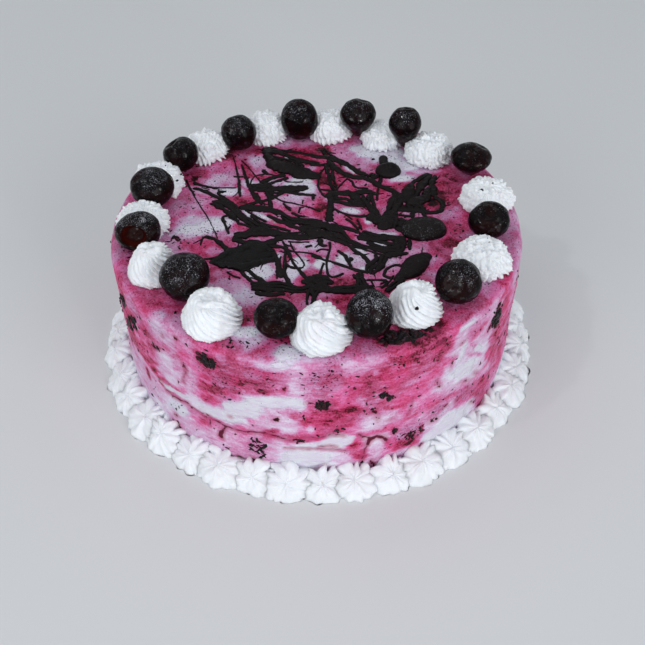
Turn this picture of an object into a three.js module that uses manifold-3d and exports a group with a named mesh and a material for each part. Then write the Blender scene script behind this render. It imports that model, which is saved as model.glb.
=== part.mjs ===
// Ice cream cake: a round drum of marbled ice cream with a chocolate drizzle on top,
// a ring of piped cream rosettes and dark cherries, and a border of cream stars at its foot.
// Millimetres, +Z up. The origin is the centre of the base, and the front faces -Y.

import * as THREE from 'three';
import { mergeVertices } from 'three/addons/utils/BufferGeometryUtils.js';
import Module from 'manifold-3d';

const wasm = await Module();
wasm.setup();

// The drum
const DRUM_RADIUS = 100;
const DRUM_FOOT_RADIUS = 98;
const DRUM_HEIGHT = 76.5;
const DRUM_FACETS = 60;
const DRUM_ROWS = 6;
const RIM_ROUNDING = 4;
const RIM_STEPS = 3;

// Smears that the palette knife left in the side, which fade out above the border
const SMEAR_DEPTH = 0.8;
const SMEAR_START = 16;
const SMEAR_FULL = 30;

// Air left between pieces that touch
const CLEARANCE = 0.3;

// Chocolate drizzle: each stroke is start x, start y, end x, end y, bow to its left, width.
// A short wide stroke is a pool or the blob where a strand turned back.
const DRIZZLE_STROKES = [
  [-26, 62, -23, 62, 0, 7],
  [-24, 60, -24, 49, -1, 6],
  [-24, 49, -2, 41, -2, 7],
  [-20, 62, 21, 42, 6, 2.6],
  [21, 42, 45, 19, 0, 2.8],
  [4, 55, 21, 35, -1, 2.6],
  [36, 52, 36, 50, 0, 5],
  [37, 42, 39, 42, 0, 12],
  [43, 20, 60, 36, -2, 7],
  [60, 26, 58, 7, 3, 3.2],
  [41, 7, 56, 6, 0, 2.6],
  [38, 18, 39, -4, -1, 3],
  [-58, 28, -40, 12, 0, 2.4],
  [-52, 20, -17, 1, -1, 4],
  [-31, 29, -7, 28, -1.5, 5],
  [-24, 33, -16, 38, 0, 3],
  [-25, 15, 28, 21, 3, 2.4],
  [8, 49, 10, 24, 1, 2.6],
  [9, 22, 6, -5, 0, 4],
  [12, 17, 29, 15, 1, 4],
  [29, 13, 29, 3, 0, 6.5],
  [-17, 1, 8, -4, 0, 4],
  [-38, -11, -1, -15, 1, 6.5],
  [-35, 1, 13, -15, -1.5, 4.5],
  [8, -3, 20, -12, 0, 2.8],
  [27, -12, 40, -16, 1, 8],
  [31, -3, 44, -4, 0, 5.5],
  [47, -9, 53, -9, 0, 16],
  [-55, -11, -43, -24, 2, 2.4],
  [-38, -30, -28, -26, 0, 14],
  [-18, -29, -13, -48, 1, 3],
  [-30, -40, -24, -49, 0, 3.4],
  [-25, -50, 19, -55, 0, 3.4],
  [0, -50, 0.5, -55, 0, 11],
  [20, -54, 36, -49, -1, 3],
  [16, -45, 19, -52, 0, 4],
  [14, -19, 33, -31, 1, 3.4],
  [33, -31, 26, -40, -3, 3.6],
  [39, -26, 41, -26, 0, 7],
  [45, -38, 50, -32, 0, 9],
  [33, -82, 43, -84, -1, 4],
];
const DRIZZLE_SINK = 0.5;
const DRIZZLE_RISE = 0.26;
const DRIZZLE_STEP = 14;

// Bits of fruit and chocolate that show in the side: angle in degrees, height, width, tallness
const FRUIT_BITS = [
  [186, 20, 5, 8],
  [197, 50, 4, 9],
  [206, 63, 5, 9],
  [211, 58, 5, 6],
  [241, 67, 6, 7],
  [253, 19, 7, 9],
  [271, 50, 6, 6],
  [289, 50, 5, 6],
  [325, 63, 6, 11],
];
const BIT_PROUD = 0.7;

// Cream rosettes: angle in degrees, distance from the axis, radius at the foot, height
const ROSETTES = [
  [238, 86, 13.2, 15.8],
  [271, 83.5, 13.1, 15.8],
  [301.5, 80.5, 12, 15.6],
  [334, 84, 13.6, 12.2],
  [8.5, 86, 13.3, 11],
  [42.5, 81, 12.8, 12.4],
  [62.5, 79, 11.5, 10.8],
  [84, 79.5, 12.2, 12.8],
  [108.5, 83, 11.8, 13.2],
  [133, 85, 12, 11.4],
  [158.5, 85.5, 13, 11.6],
  [182, 83.5, 13, 11.4],
  [207.5, 83.5, 11.7, 16.2],
];
const ROSETTE_RIDGES = 14;
const ROSETTE_RIDGE_DEPTH = 0.16;
const ROSETTE_TWIST = THREE.MathUtils.degToRad(75);
const ROSETTE_PROFILE = [[0, 0], [0.94, 0], [1, 0.22], [0.84, 0.6], [0.42, 0.92], [0, 1]];

// Cherries: angle in degrees, distance from the axis, half width, half height,
// lift off the top, and the way the stem end points as azimuth and elevation in degrees
const CHERRIES = [
  [257.8, 82.4, 9.7, 8.1, 0, 90, 70],
  [285, 84.1, 10.4, 10.4, 0, 240, 15],
  [315.6, 86.3, 10.2, 9.9, 0, 250, 20],
  [350.5, 82.5, 9.9, 8.2, 0, 100, 60],
  [25.9, 88.3, 11, 7.9, 0, 30, 55],
  [52.6, 78, 9.1, 11.4, 2, 80, 75],
  [72.7, 77.8, 9.9, 10.9, 1, 40, 70],
  [96.2, 76.5, 10, 10.9, 0, 280, 50],
  [121.4, 77.3, 9.3, 9.6, 0, 120, 60],
  [145.6, 84, 9.3, 8.7, 0, 150, 70],
  [168.3, 82.2, 10.8, 9.4, 0, 200, 60],
  [192, 85.1, 10.9, 8.2, 0, 262, 20],
  [223.1, 79.6, 11.4, 10.3, 0, 90, 60],
];
const CHERRY_SIDES = 12;
const CHERRY_ROWS = 7;
const STEM_DIMPLE_DEPTH = 0.22;
const STEM_DIMPLE_WIDTH = 0.45;

// Border of piped stars round the foot
const STAR_COUNT = 40;
const STAR_RING_RADIUS = 104;
const STAR_RADIUS = 9.2;
const STAR_HEIGHT = 12.6;
const STAR_PETALS = 8;
const STAR_PETAL_DEPTH = 0.24;
const STAR_LEAN = 2.5;
const STAR_PROFILE = [[0, 0], [1, 0], [0.82, 0.72], [0, 1]];

const MERGE_DISTANCE = 1e-3;

/** Closed surface with its shared vertices merged and its collapsed triangles dropped. */
function weld(geometry) {
  const bare = geometry.clone();
  bare.deleteAttribute('normal');
  bare.deleteAttribute('uv');
  const merged = mergeVertices(bare, MERGE_DISTANCE);
  const kept = [];
  const index = merged.index.array;
  for (let i = 0; i < index.length; i += 3) {
    const [a, b, c] = [index[i], index[i + 1], index[i + 2]];
    if (a !== b && b !== c && c !== a) {
      kept.push(a, b, c);
    }
  }
  merged.setIndex(kept);
  return merged;
}

/** Solid that can be joined and cut. */
function toSolid(geometry) {
  const closed = weld(geometry);
  return new wasm.Manifold(new wasm.Mesh({
    numProp: 3,
    vertProperties: new Float32Array(closed.attributes.position.array),
    triVerts: new Uint32Array(closed.index.array),
  }));
}

/** Surface of a joined or cut solid. */
function toGeometry(solid) {
  const mesh = solid.getMesh();
  const geometry = new THREE.BufferGeometry();
  geometry.setAttribute('position', new THREE.BufferAttribute(mesh.vertProperties, 3));
  geometry.setIndex(new THREE.BufferAttribute(mesh.triVerts, 1));
  geometry.computeVertexNormals();
  return geometry;
}

/** Moves every vertex of a surface by a rule that edits the point in place. */
function reshape(geometry, rule) {
  const position = geometry.attributes.position;
  const point = new THREE.Vector3();
  for (let i = 0; i < position.count; i += 1) {
    point.fromBufferAttribute(position, i);
    rule(point);
    position.setXYZ(i, point.x, point.y, point.z);
  }
  return geometry;
}

/** Surface turned about +Z from a profile of radius and height pairs. */
function turned(profile, facets) {
  const points = profile.map(([radius, height]) => new THREE.Vector2(radius, height));
  return new THREE.LatheGeometry(points, facets).rotateX(Math.PI / 2);
}

/** Point on a circle about +Z. */
function onRing(degrees, radius, height) {
  const angle = THREE.MathUtils.degToRad(degrees);
  return new THREE.Vector3(radius * Math.cos(angle), radius * Math.sin(angle), height);
}

/** Radius of the plain drum at a height. */
function drumRadius(height) {
  return THREE.MathUtils.lerp(DRUM_FOOT_RADIUS, DRUM_RADIUS, height / DRUM_HEIGHT);
}

/** Depth of the knife's smears at an angle and height: slanting waves that never stand proud. */
function smearDepth(angle, height) {
  const fade = THREE.MathUtils.smoothstep(height, SMEAR_START, SMEAR_FULL);
  const wave = Math.sin(5 * angle + height / 9) * Math.sin(3 * angle - height / 14);
  return SMEAR_DEPTH * fade * (0.5 + 0.5 * wave);
}

/** The drum's half outline, from the middle of its base to the middle of its top. */
function drumProfile() {
  const wallTop = DRUM_HEIGHT - RIM_ROUNDING;
  const profile = [[0, 0]];
  for (let i = 0; i <= DRUM_ROWS; i += 1) {
    const height = (wallTop * i) / DRUM_ROWS;
    profile.push([drumRadius(height), height]);
  }
  const centre = drumRadius(wallTop) - RIM_ROUNDING;
  for (let i = 1; i <= RIM_STEPS; i += 1) {
    const turn = (Math.PI / 2) * (i / RIM_STEPS);
    const reach = centre + RIM_ROUNDING * Math.cos(turn);
    profile.push([reach, wallTop + RIM_ROUNDING * Math.sin(turn)]);
  }
  profile.push([0, DRUM_HEIGHT]);
  return profile;
}

/** The drum with the smears pressed into its side. */
function drum() {
  return reshape(turned(drumProfile(), DRUM_FACETS), (point) => {
    const radius = Math.hypot(point.x, point.y);
    if (radius > DRUM_FOOT_RADIUS - RIM_ROUNDING) {
      const keep = 1 - smearDepth(Math.atan2(point.y, point.x), point.z) / radius;
      point.x *= keep;
      point.y *= keep;
    }
  });
}

/** One drizzle stroke: a capsule bent along a bowed path and squashed onto the top. */
function drizzleStroke([startX, startY, endX, endY, bow, width]) {
  const start = new THREE.Vector2(startX, startY);
  const end = new THREE.Vector2(endX, endY);
  const along = end.clone().sub(start);
  const left = new THREE.Vector2(-along.y, along.x).normalize();
  const middle = start.clone().lerp(end, 0.5).addScaledVector(left, 2 * bow);
  const path = new THREE.QuadraticBezierCurve(start, middle, end);
  const length = path.getLength();
  const steps = Math.max(1, Math.ceil(length / DRIZZLE_STEP));
  const capsule = new THREE.CapsuleGeometry(width / 2, length, 2, 6, steps);
  const squash = (DRIZZLE_SINK + DRIZZLE_RISE * width) / (width / 2);
  return reshape(capsule, (point) => {
    const travel = point.y / length + 0.5;
    const held = THREE.MathUtils.clamp(travel, 0, 1);
    const at = path.getPoint(held);
    const way = path.getTangent(held);
    const past = (travel - held) * length;
    const across = point.x;
    point.x = at.x + way.x * past + way.y * across;
    point.y = at.y + way.y * past - way.x * across;
    point.z = DRUM_HEIGHT + squash * point.z;
  });
}

/** One bit of fruit: a small pebble set in the side. */
function fruitBit([degrees, height, width, tallness]) {
  const pebble = new THREE.SphereGeometry(1, 6, 4);
  pebble.rotateX(Math.PI / 2);
  pebble.scale(2 * BIT_PROUD, width / 2, tallness / 2);
  pebble.rotateZ(THREE.MathUtils.degToRad(degrees));
  const surface = drumRadius(height) - smearDepth(THREE.MathUtils.degToRad(degrees), height);
  const place = onRing(degrees, surface - BIT_PROUD, height);
  return pebble.translate(place.x, place.y, place.z);
}

/** The drum with its drizzle and the bits in its side, as one solid. */
function cakeBody() {
  const toppings = [...DRIZZLE_STROKES.map(drizzleStroke), ...FRUIT_BITS.map(fruitBit)];
  return toppings.reduce((solid, topping) => solid.add(toSolid(topping)), toSolid(drum()));
}

/** Presses ridges into a turned surface: count ridges, each valley depth deep, turned towards the foot. */
function ridged(geometry, count, depth, twist, height) {
  return reshape(geometry, (point) => {
    const angle = Math.atan2(point.y, point.x);
    const reach = Math.hypot(point.x, point.y) * (1 - depth * (0.5 - 0.5 * Math.cos(count * angle)));
    const swept = angle + twist * (1 - point.z / height);
    point.x = reach * Math.cos(swept);
    point.y = reach * Math.sin(swept);
  });
}

/** One rosette standing on the origin. */
function rosette(radius, height) {
  const profile = ROSETTE_PROFILE.map(([reach, rise]) => [reach * radius, rise * height]);
  const plain = turned(profile, 2 * ROSETTE_RIDGES);
  return ridged(plain, ROSETTE_RIDGES, ROSETTE_RIDGE_DEPTH, ROSETTE_TWIST, height);
}

/** One cherry about the origin, grown by a margin, with a dimple at its stem end. */
function cherry(halfWidth, halfHeight, azimuth, elevation, margin = 0) {
  const ball = reshape(new THREE.SphereGeometry(1, CHERRY_SIDES, CHERRY_ROWS), (point) => {
    const off = Math.hypot(point.x, point.z) / STEM_DIMPLE_WIDTH;
    if (point.y > 0) {
      point.y -= STEM_DIMPLE_DEPTH * Math.exp(-off * off);
    }
  });
  ball.rotateZ(-Math.PI / 2);
  ball.rotateY(-THREE.MathUtils.degToRad(elevation));
  ball.rotateZ(THREE.MathUtils.degToRad(azimuth));
  return ball.scale(halfWidth + margin, halfWidth + margin, halfHeight + margin);
}

/** Where a cherry's middle is. */
function cherryPlace([degrees, ring, , halfHeight, lift]) {
  return onRing(degrees, ring, DRUM_HEIGHT + CLEARANCE + halfHeight + lift);
}

/** One rosette with hollows pressed in it by the cherries, about its own foot. */
function pressedRosette([, , radius, height], place) {
  let solid = toSolid(rosette(radius, height));
  for (const row of CHERRIES) {
    const [, , halfWidth, halfHeight, , azimuth, elevation] = row;
    const offset = cherryPlace(row).sub(place);
    if (offset.length() < radius + halfWidth + halfHeight) {
      const press = cherry(halfWidth, halfHeight, azimuth, elevation, CLEARANCE);
      solid = solid.subtract(toSolid(press.translate(offset.x, offset.y, offset.z)));
    }
  }
  return toGeometry(solid);
}

/** One star of the border: a petalled dome that leans in against the drum. */
function star(degrees) {
  const profile = STAR_PROFILE.map(([reach, rise]) => [reach * STAR_RADIUS, rise * STAR_HEIGHT]);
  const plain = turned(profile, 2 * STAR_PETALS);
  const dome = ridged(plain, STAR_PETALS, STAR_PETAL_DEPTH, 0, STAR_HEIGHT);
  reshape(dome, (point) => {
    const rise = point.z / STAR_HEIGHT;
    point.x += STAR_RING_RADIUS - STAR_LEAN * rise * rise;
  });
  return dome.rotateZ(THREE.MathUtils.degToRad(degrees));
}

/** The ring of stars, cut back to stand just clear of the drum. */
function border() {
  let ring = toSolid(star(0));
  for (let i = 1; i < STAR_COUNT; i += 1) {
    ring = ring.add(toSolid(star((360 * i) / STAR_COUNT)));
  }
  const below = -STAR_HEIGHT;
  const above = 2 * STAR_HEIGHT;
  const overCorners = 1 / Math.cos(Math.PI / STAR_COUNT);
  const profile = [
    [0, below],
    [(drumRadius(below) + CLEARANCE) * overCorners, below],
    [(drumRadius(above) + CLEARANCE) * overCorners, above],
    [0, above],
  ];
  return toGeometry(ring.subtract(toSolid(turned(profile, STAR_COUNT))));
}

const iceCream = new THREE.MeshStandardMaterial({ color: 0xd38bb4, roughness: 0.6, metalness: 0 });
const cream = new THREE.MeshStandardMaterial({ color: 0xeceef2, roughness: 0.55, metalness: 0 });
const cherrySkin = new THREE.MeshStandardMaterial({ color: 0x2a1a1e, roughness: 0.35, metalness: 0 });

/** Named mesh at a place. */
function piece(name, geometry, material, place = new THREE.Vector3()) {
  const mesh = new THREE.Mesh(geometry, material);
  mesh.name = name;
  mesh.position.copy(place);
  return mesh;
}

/** Two-digit number of a repeated piece. */
function number(index) {
  return String(index + 1).padStart(2, '0');
}

const cake = new THREE.Group();
cake.add(piece('cake_body', toGeometry(cakeBody()), iceCream));
cake.add(piece('cream_border', border(), cream));

ROSETTES.forEach((row, index) => {
  const [degrees, ring] = row;
  const place = onRing(degrees, ring, DRUM_HEIGHT + CLEARANCE);
  cake.add(piece(`cream_rosette_${number(index)}`, pressedRosette(row, place), cream, place));
});

CHERRIES.forEach((row, index) => {
  const [, , halfWidth, halfHeight, , azimuth, elevation] = row;
  const ball = weld(cherry(halfWidth, halfHeight, azimuth, elevation));
  ball.computeVertexNormals();
  cake.add(piece(`cherry_${number(index)}`, ball, cherrySkin, cherryPlace(row)));
});

export default cake;
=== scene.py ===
"""Dresses the ice cream cake: a marbled drum, chocolate drizzle, piped cream and frosted cherries.

Every surface is worked out with numpy in millimetres, in the frame's own axes (+Z up, the cake's
foot on z = 0), and goes into its mesh in metres. Colours that belong to a place on the surface,
such as the marbling, are painted as point attributes; finer grain comes from the materials.
"""
import logging
import math
from collections.abc import Iterator, Sequence
from dataclasses import dataclass
from enum import Enum
from functools import lru_cache
from typing import TypeVar

import bpy
import numpy as np
from mathutils import Matrix, Vector


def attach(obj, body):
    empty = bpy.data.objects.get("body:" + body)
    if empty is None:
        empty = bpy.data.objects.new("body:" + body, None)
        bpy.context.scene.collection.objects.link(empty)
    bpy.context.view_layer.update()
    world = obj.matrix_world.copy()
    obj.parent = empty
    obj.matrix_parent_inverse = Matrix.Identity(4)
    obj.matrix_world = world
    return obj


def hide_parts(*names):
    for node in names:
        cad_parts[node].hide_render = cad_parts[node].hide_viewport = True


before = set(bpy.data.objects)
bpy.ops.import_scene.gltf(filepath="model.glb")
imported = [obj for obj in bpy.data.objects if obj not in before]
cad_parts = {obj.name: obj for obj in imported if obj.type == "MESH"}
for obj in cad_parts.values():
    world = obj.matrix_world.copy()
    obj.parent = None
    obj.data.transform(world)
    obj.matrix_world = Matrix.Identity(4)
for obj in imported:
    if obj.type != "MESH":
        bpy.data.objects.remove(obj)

LOG = logging.getLogger("ice_cream_cake")
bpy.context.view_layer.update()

Array = np.ndarray
Colour = tuple[float, float, float]
Point = tuple[float, float]
Knot = tuple[float, float, float]
Grid = tuple[int, int]
Values = dict[str, object]
Piece = bpy.types.Object
Material = bpy.types.Material
NodeTree = bpy.types.NodeTree
Socket = bpy.types.NodeSocket
Row = TypeVar("Row")

MILLIMETRE = 0.001
BODY = "root"

DRUM_RADIUS = 100.0
DRUM_FOOT_RADIUS = 98.0
DRUM_HEIGHT = 76.5
RIM_ROUNDING = 4.0
TOPPING_FOOT = DRUM_HEIGHT + 0.3
ROSETTE_SINK = 0.3


# Noise and curves that more than one surface needs

NOISE_CELLS = 48
OCTAVES = 3
OCTAVE_SPREAD = 1.4


@lru_cache(maxsize=None)
def lattice(seed: int) -> Array:
    """Random numbers from -1 to 1 on a cube of NOISE_CELLS lattice points a side."""
    return np.random.default_rng(seed).uniform(-1.0, 1.0, (NOISE_CELLS,) * 3)


def noise(points: Array, size: float | Sequence[float], seed: int) -> Array:
    """Value noise: the eight lattice numbers round a point, blended by smooth steps.

    Args:
        points: places, with x, y, z along the last axis.
        size: the width of a lattice cell, one number or one for each axis.
        seed: picks the lattice.

    Returns:
        One number from about -1 to 1 for each point.
    """
    scaled = points / np.asarray(size, float)
    cell = np.floor(scaled).astype(int)
    part = scaled - cell
    part = part * part * (3.0 - 2.0 * part)
    table = lattice(seed)
    total = np.zeros(points.shape[:-1])
    for corner in np.ndindex(2, 2, 2):
        share = np.prod(np.where(corner, part, 1.0 - part), axis=-1)
        x, y, z = np.moveaxis((cell + corner) % NOISE_CELLS, -1, 0)
        total = total + share * table[x, y, z]
    return total


def fractal(points: Array, size: float | Sequence[float], seed: int) -> Array:
    """Noise with finer noise on it: each octave has half the size and half the height.

    Args:
        points: places, with x, y, z along the last axis.
        size: the cell width of the coarsest octave.
        seed: picks the first lattice.

    Returns:
        One number from about -1 to 1 for each point.
    """
    total = np.zeros(points.shape[:-1])
    for step in range(OCTAVES):
        total = total + noise(points, np.asarray(size, float) / 2**step, seed + step) / 2**step
    return total / OCTAVE_SPREAD


def smoothstep(low: float, high: float, value: Array) -> Array:
    """0 below low, 1 above high, and a smooth S between them; high may be the smaller."""
    part = np.clip((value - low) / (high - low), 0.0, 1.0)
    return part * part * (3.0 - 2.0 * part)


def through(knots: Sequence[Sequence[float]], places: Array) -> Array:
    """A smooth curve through a few knots: cubic pieces whose slope at a knot joins its neighbours.

    Args:
        knots: the points the curve passes through, evenly spaced in its parameter.
        places: parameters from 0, the first knot, to 1, the last.

    Returns:
        The curve's points, one row for each parameter.
    """
    rows = np.asarray(knots, float)
    last = len(rows) - 1
    where = np.clip(places, 0.0, 1.0) * last
    start = np.minimum(where.astype(int), last - 1)
    part = (where - start)[..., None]
    before, here = rows[np.maximum(start - 1, 0)], rows[start]
    there, after = rows[start + 1], rows[np.minimum(start + 2, last)]
    straight = there - before
    bend = 2 * before - 5 * here + 4 * there - after
    twist = 3 * (here - there) + after - before
    return here + 0.5 * part * (straight + part * (bend + part * twist))


def unit(vectors: Array) -> Array:
    """The same directions with length one."""
    return vectors / np.linalg.norm(vectors, axis=-1)[..., None]


def on_ring(degrees: float, ring: float) -> Array:
    """The point at an angle round the cake's axis and a distance from it."""
    turn = math.radians(degrees)
    return np.array((ring * math.cos(turn), ring * math.sin(turn)))


def full_turn(count: int) -> Array:
    """Angles spread evenly round a circle, in radians."""
    return np.arange(count) * (2 * math.pi / count)


def around(reach: float | Array, turns: Array, height: float | Array) -> Array:
    """Points at a reach from an axis, a turn round it in radians and a height along it."""
    return np.stack(np.broadcast_arrays(reach * np.cos(turns), reach * np.sin(turns), height), -1)


def wall_radius(height: Array) -> Array:
    """The plain wall's distance from the axis, which grows evenly from the foot to the top."""
    return DRUM_FOOT_RADIUS + (DRUM_RADIUS - DRUM_FOOT_RADIUS) * height / DRUM_HEIGHT


def rows_of(kind: type[Row], *rows: Sequence[float]) -> tuple[Row, ...]:
    """One object of a kind for each row of its fields."""
    return tuple(kind(*row) for row in rows)


# Meshes

@dataclass(frozen=True)
class Skin:
    """Closed skins made of rings, each from a foot pole through its rings to a crown pole.

    points has the shape (skins, points of one skin, 3), a skin's points being the foot pole, the
    rings one after another, and the crown pole. counts says how many points each ring has: as
    many as the ring before it, or half as many.
    """

    points: Array
    counts: tuple[int, ...]

    @classmethod
    def of_rings(cls, rings: Array, foot: Array, crown: Array) -> "Skin":
        """Skins whose rings all have the same number of points.

        Args:
            rings: points as (skins, rings, points of a ring, 3), anticlockwise seen from the crown.
            foot: the foot poles as (skins, 3).
            crown: the crown poles as (skins, 3).

        Returns:
            The closed skins.
        """
        skins, rows, columns, _ = rings.shape
        flat = rings.reshape(skins, rows * columns, 3)
        points = np.concatenate((foot[:, None], flat, crown[:, None]), axis=1)
        return cls(points, (columns,) * rows)

    def faces(self) -> tuple[Array, Array]:
        """Joins each ring to the next and closes the poles.

        Returns:
            The quads and the triangles as rows of point numbers, facing outwards.
        """
        starts = 1 + np.concatenate(([0], np.cumsum(self.counts)))
        low, high = np.arange(self.counts[0]), np.arange(self.counts[-1])
        first, top = starts[0], starts[-2]
        triangles = [
            np.stack((0 * low, first + np.roll(low, -1), first + low), -1),
            np.stack((0 * high + starts[-1], top + high, top + np.roll(high, -1)), -1),
        ]
        quads = [np.zeros((0, 4), int)]
        for here, there, count, over in zip(starts, starts[1:], self.counts, self.counts[1:]):
            k = np.arange(over)
            after = np.roll(k, -1)
            if over == count:
                quads.append(np.stack((here + k, here + after, there + after, there + k), -1))
                continue
            middle = here + 2 * k + 1
            triangles += [
                np.stack((here + 2 * k, middle, there + k), -1),
                np.stack((middle, there + after, there + k), -1),
                np.stack((middle, here + 2 * after, there + after), -1),
            ]
        shift = (np.arange(len(self.points)) * self.points.shape[1])[:, None, None]
        return tuple(
            (np.concatenate(rows)[None] + shift).reshape(-1, rows[0].shape[1])
            for rows in (quads, triangles)
        )

    def piece(self, name: str, layers: dict[str, Array] | None = None) -> Piece:
        """Makes the skins one smooth mesh object at the origin.

        Args:
            name: the object's name.
            layers: point attributes by name, one number for each point.

        Returns:
            The new object, linked to the scene.
        """
        quads, triangles = self.faces()
        corners = np.concatenate((quads.ravel(), triangles.ravel()))
        sides = np.concatenate((np.full(len(quads), 4), np.full(len(triangles), 3)))
        mesh = bpy.data.meshes.new(name)
        mesh.vertices.add(self.points.size // 3)
        mesh.vertices.foreach_set("co", (self.points * MILLIMETRE).ravel())
        mesh.loops.add(len(corners))
        mesh.loops.foreach_set("vertex_index", corners)
        mesh.polygons.add(len(sides))
        mesh.polygons.foreach_set("loop_start", np.cumsum(sides) - sides)
        mesh.update(calc_edges=True)
        mesh.validate()
        mesh.shade_smooth()
        for layer, values in (layers or {}).items():
            attribute = mesh.attributes.new(layer, "FLOAT", "POINT")
            attribute.data.foreach_set("value", np.asarray(values, np.float32).ravel())
        piece = bpy.data.objects.new(name, mesh)
        bpy.context.scene.collection.objects.link(piece)
        return piece


def hand_over(piece: Piece, finish: Material, slot: str, *nodes: str) -> None:
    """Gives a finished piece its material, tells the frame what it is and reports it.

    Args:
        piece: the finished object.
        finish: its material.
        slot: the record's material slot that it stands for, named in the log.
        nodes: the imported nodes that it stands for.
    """
    piece.data.materials.append(finish)
    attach(piece, BODY)
    if nodes:
        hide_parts(*nodes)
    LOG.info("%s: %d faces, slot %s", piece.name, len(piece.data.polygons), slot)


# Materials

class NodePen:
    """Adds nodes to one shader tree and joins them."""

    def __init__(self, tree: NodeTree) -> None:
        """Clears the tree to be drawn in."""
        self.tree = tree
        tree.nodes.clear()

    def node(self, kind: str, values: Values | None = None, **settings: object) -> bpy.types.Node:
        """Adds a node.

        Args:
            kind: Blender's name for the node type.
            values: what each named input holds or is linked to.
            settings: the node's own properties.

        Returns:
            The new node.
        """
        node = self.tree.nodes.new(kind)
        for name, value in settings.items():
            setattr(node, name, value)
        for name, value in (values or {}).items():
            self.put(node.inputs[name], value)
        return node

    def put(self, target: Socket, value: object) -> None:
        """Links a socket to an input, or sets a plain value on it; a colour gets full opacity."""
        if isinstance(value, Socket):
            self.tree.links.new(value, target)
        else:
            target.default_value = (*value, 1.0) if target.type == "RGBA" else value

    def math(self, operation: str, *values: object) -> Socket:
        """A sum, product or other operation on numbers or sockets."""
        node = self.node("ShaderNodeMath", operation=operation)
        for target, value in zip(node.inputs, values):
            self.put(target, value)
        return node.outputs[0]

    def mix(self, share: object, first: object, second: object, blend: str = "MIX") -> Socket:
        """A colour between two, first at share 0 and second, or the two multiplied, at share 1."""
        node = self.node("ShaderNodeMix", data_type="RGBA", blend_type=blend)
        self.put(node.inputs[0], share)
        self.put(node.inputs[6], first)
        self.put(node.inputs[7], second)
        return node.outputs[2]

    def between(
        self, value: object, low: float, high: float, start: float = 0.0, end: float = 1.0
    ) -> Socket:
        """Carries a value smoothly from the range low..high to the range start..end."""
        node = self.node("ShaderNodeMapRange", interpolation_type="SMOOTHSTEP")
        self.put(node.inputs[0], value)
        for index, number in enumerate((low, high, start, end), 1):
            node.inputs[index].default_value = number
        return node.outputs[0]

    def ramp(self, value: Socket, stops: Sequence[tuple[float, Colour]]) -> Socket:
        """A colour ramp through the given stops, each a position and a linear colour."""
        node = self.node("ShaderNodeValToRGB", {"Fac": value})
        elements = node.color_ramp.elements
        while len(elements) < len(stops):
            elements.new(0.5)
        for element, (place, colour) in zip(elements, stops):
            element.position = place
            element.color = (*colour, 1.0)
        return node.outputs["Color"]

    def place(self, stretch: Sequence[float] = (1.0, 1.0, 1.0)) -> Socket:
        """Object coordinates, squeezed along each axis by stretch."""
        spot = self.node("ShaderNodeTexCoord").outputs["Object"]
        if tuple(stretch) == (1.0, 1.0, 1.0):
            return spot
        return self.node("ShaderNodeMapping", {"Vector": spot, "Scale": stretch}).outputs[0]

    def grain(self, spot: Socket, size: object, detail: float = 2.0, warp: float = 0.0) -> Socket:
        """Noise with features of a given width in millimetres, or of a size socket."""
        per_metre = 1.0 / MILLIMETRE
        scale = self.math("DIVIDE", per_metre, size) if isinstance(size, Socket) else per_metre / size
        values = {"Vector": spot, "Scale": scale, "Detail": detail, "Distortion": warp}
        return self.node("ShaderNodeTexNoise", values).outputs[0]

    def painted(self, layer: str) -> Socket:
        """The number painted on the piece's points under this name."""
        return self.node("ShaderNodeAttribute", attribute_name=layer).outputs["Fac"]

    def bump(self, height: Socket, depth: float, strength: float = 1.0) -> Socket:
        """A normal tilted by a height map whose full range is depth millimetres."""
        values = {"Height": height, "Strength": strength, "Distance": depth * MILLIMETRE}
        return self.node("ShaderNodeBump", values).outputs[0]

    def finish(self, values: Values) -> None:
        """Ends a material in one Principled shader with these inputs."""
        shader = self.node("ShaderNodeBsdfPrincipled", values)
        target = self.node("ShaderNodeOutputMaterial")
        self.tree.links.new(shader.outputs[0], target.inputs[0])


class SharedEffect(Enum):
    """Shader groups that several finishes use."""

    COLD_GRAIN = "cold_grain"
    FROST_BLOOM = "frost_bloom"


@lru_cache(maxsize=None)
def shared_effect(effect: SharedEffect) -> NodeTree:
    """The shader group of an effect, built once."""
    tree = bpy.data.node_groups.new(effect.value, "ShaderNodeTree")
    {SharedEffect.COLD_GRAIN: cold_grain, SharedEffect.FROST_BLOOM: frost_bloom}[effect](tree)
    return tree


def open_group(
    tree: NodeTree, inputs: Sequence[str], outputs: Sequence[str]
) -> tuple[NodePen, dict[str, Socket], dict[str, Socket]]:
    """Gives a group its number sockets and its two end nodes.

    Args:
        tree: the new group.
        inputs: names of the number inputs.
        outputs: names of the number outputs.

    Returns:
        A pen for the group, the sockets that give its inputs and those that take its outputs.
    """
    for name in inputs:
        tree.interface.new_socket(name, in_out="INPUT", socket_type="NodeSocketFloat")
    for name in outputs:
        tree.interface.new_socket(name, in_out="OUTPUT", socket_type="NodeSocketFloat")
    pen = NodePen(tree)
    given = pen.node("NodeGroupInput").outputs
    taken = pen.node("NodeGroupOutput").inputs
    return pen, {name: given[name] for name in inputs}, {name: taken[name] for name in outputs}


def cold_grain(tree: NodeTree) -> None:
    """Frozen cream grain: lumps of the given size with crystals a fifth as wide on them."""
    pen, given, taken = open_group(tree, ("Size",), ("Height", "Mottle"))
    spot = pen.place()
    lumps = pen.grain(spot, given["Size"], 3.0, 0.4)
    crystals = pen.grain(spot, pen.math("MULTIPLY", given["Size"], 0.2), 1.0)
    pen.put(taken["Height"], pen.math("MULTIPLY_ADD", crystals, 0.35, lumps))
    pen.put(taken["Mottle"], lumps)


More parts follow.
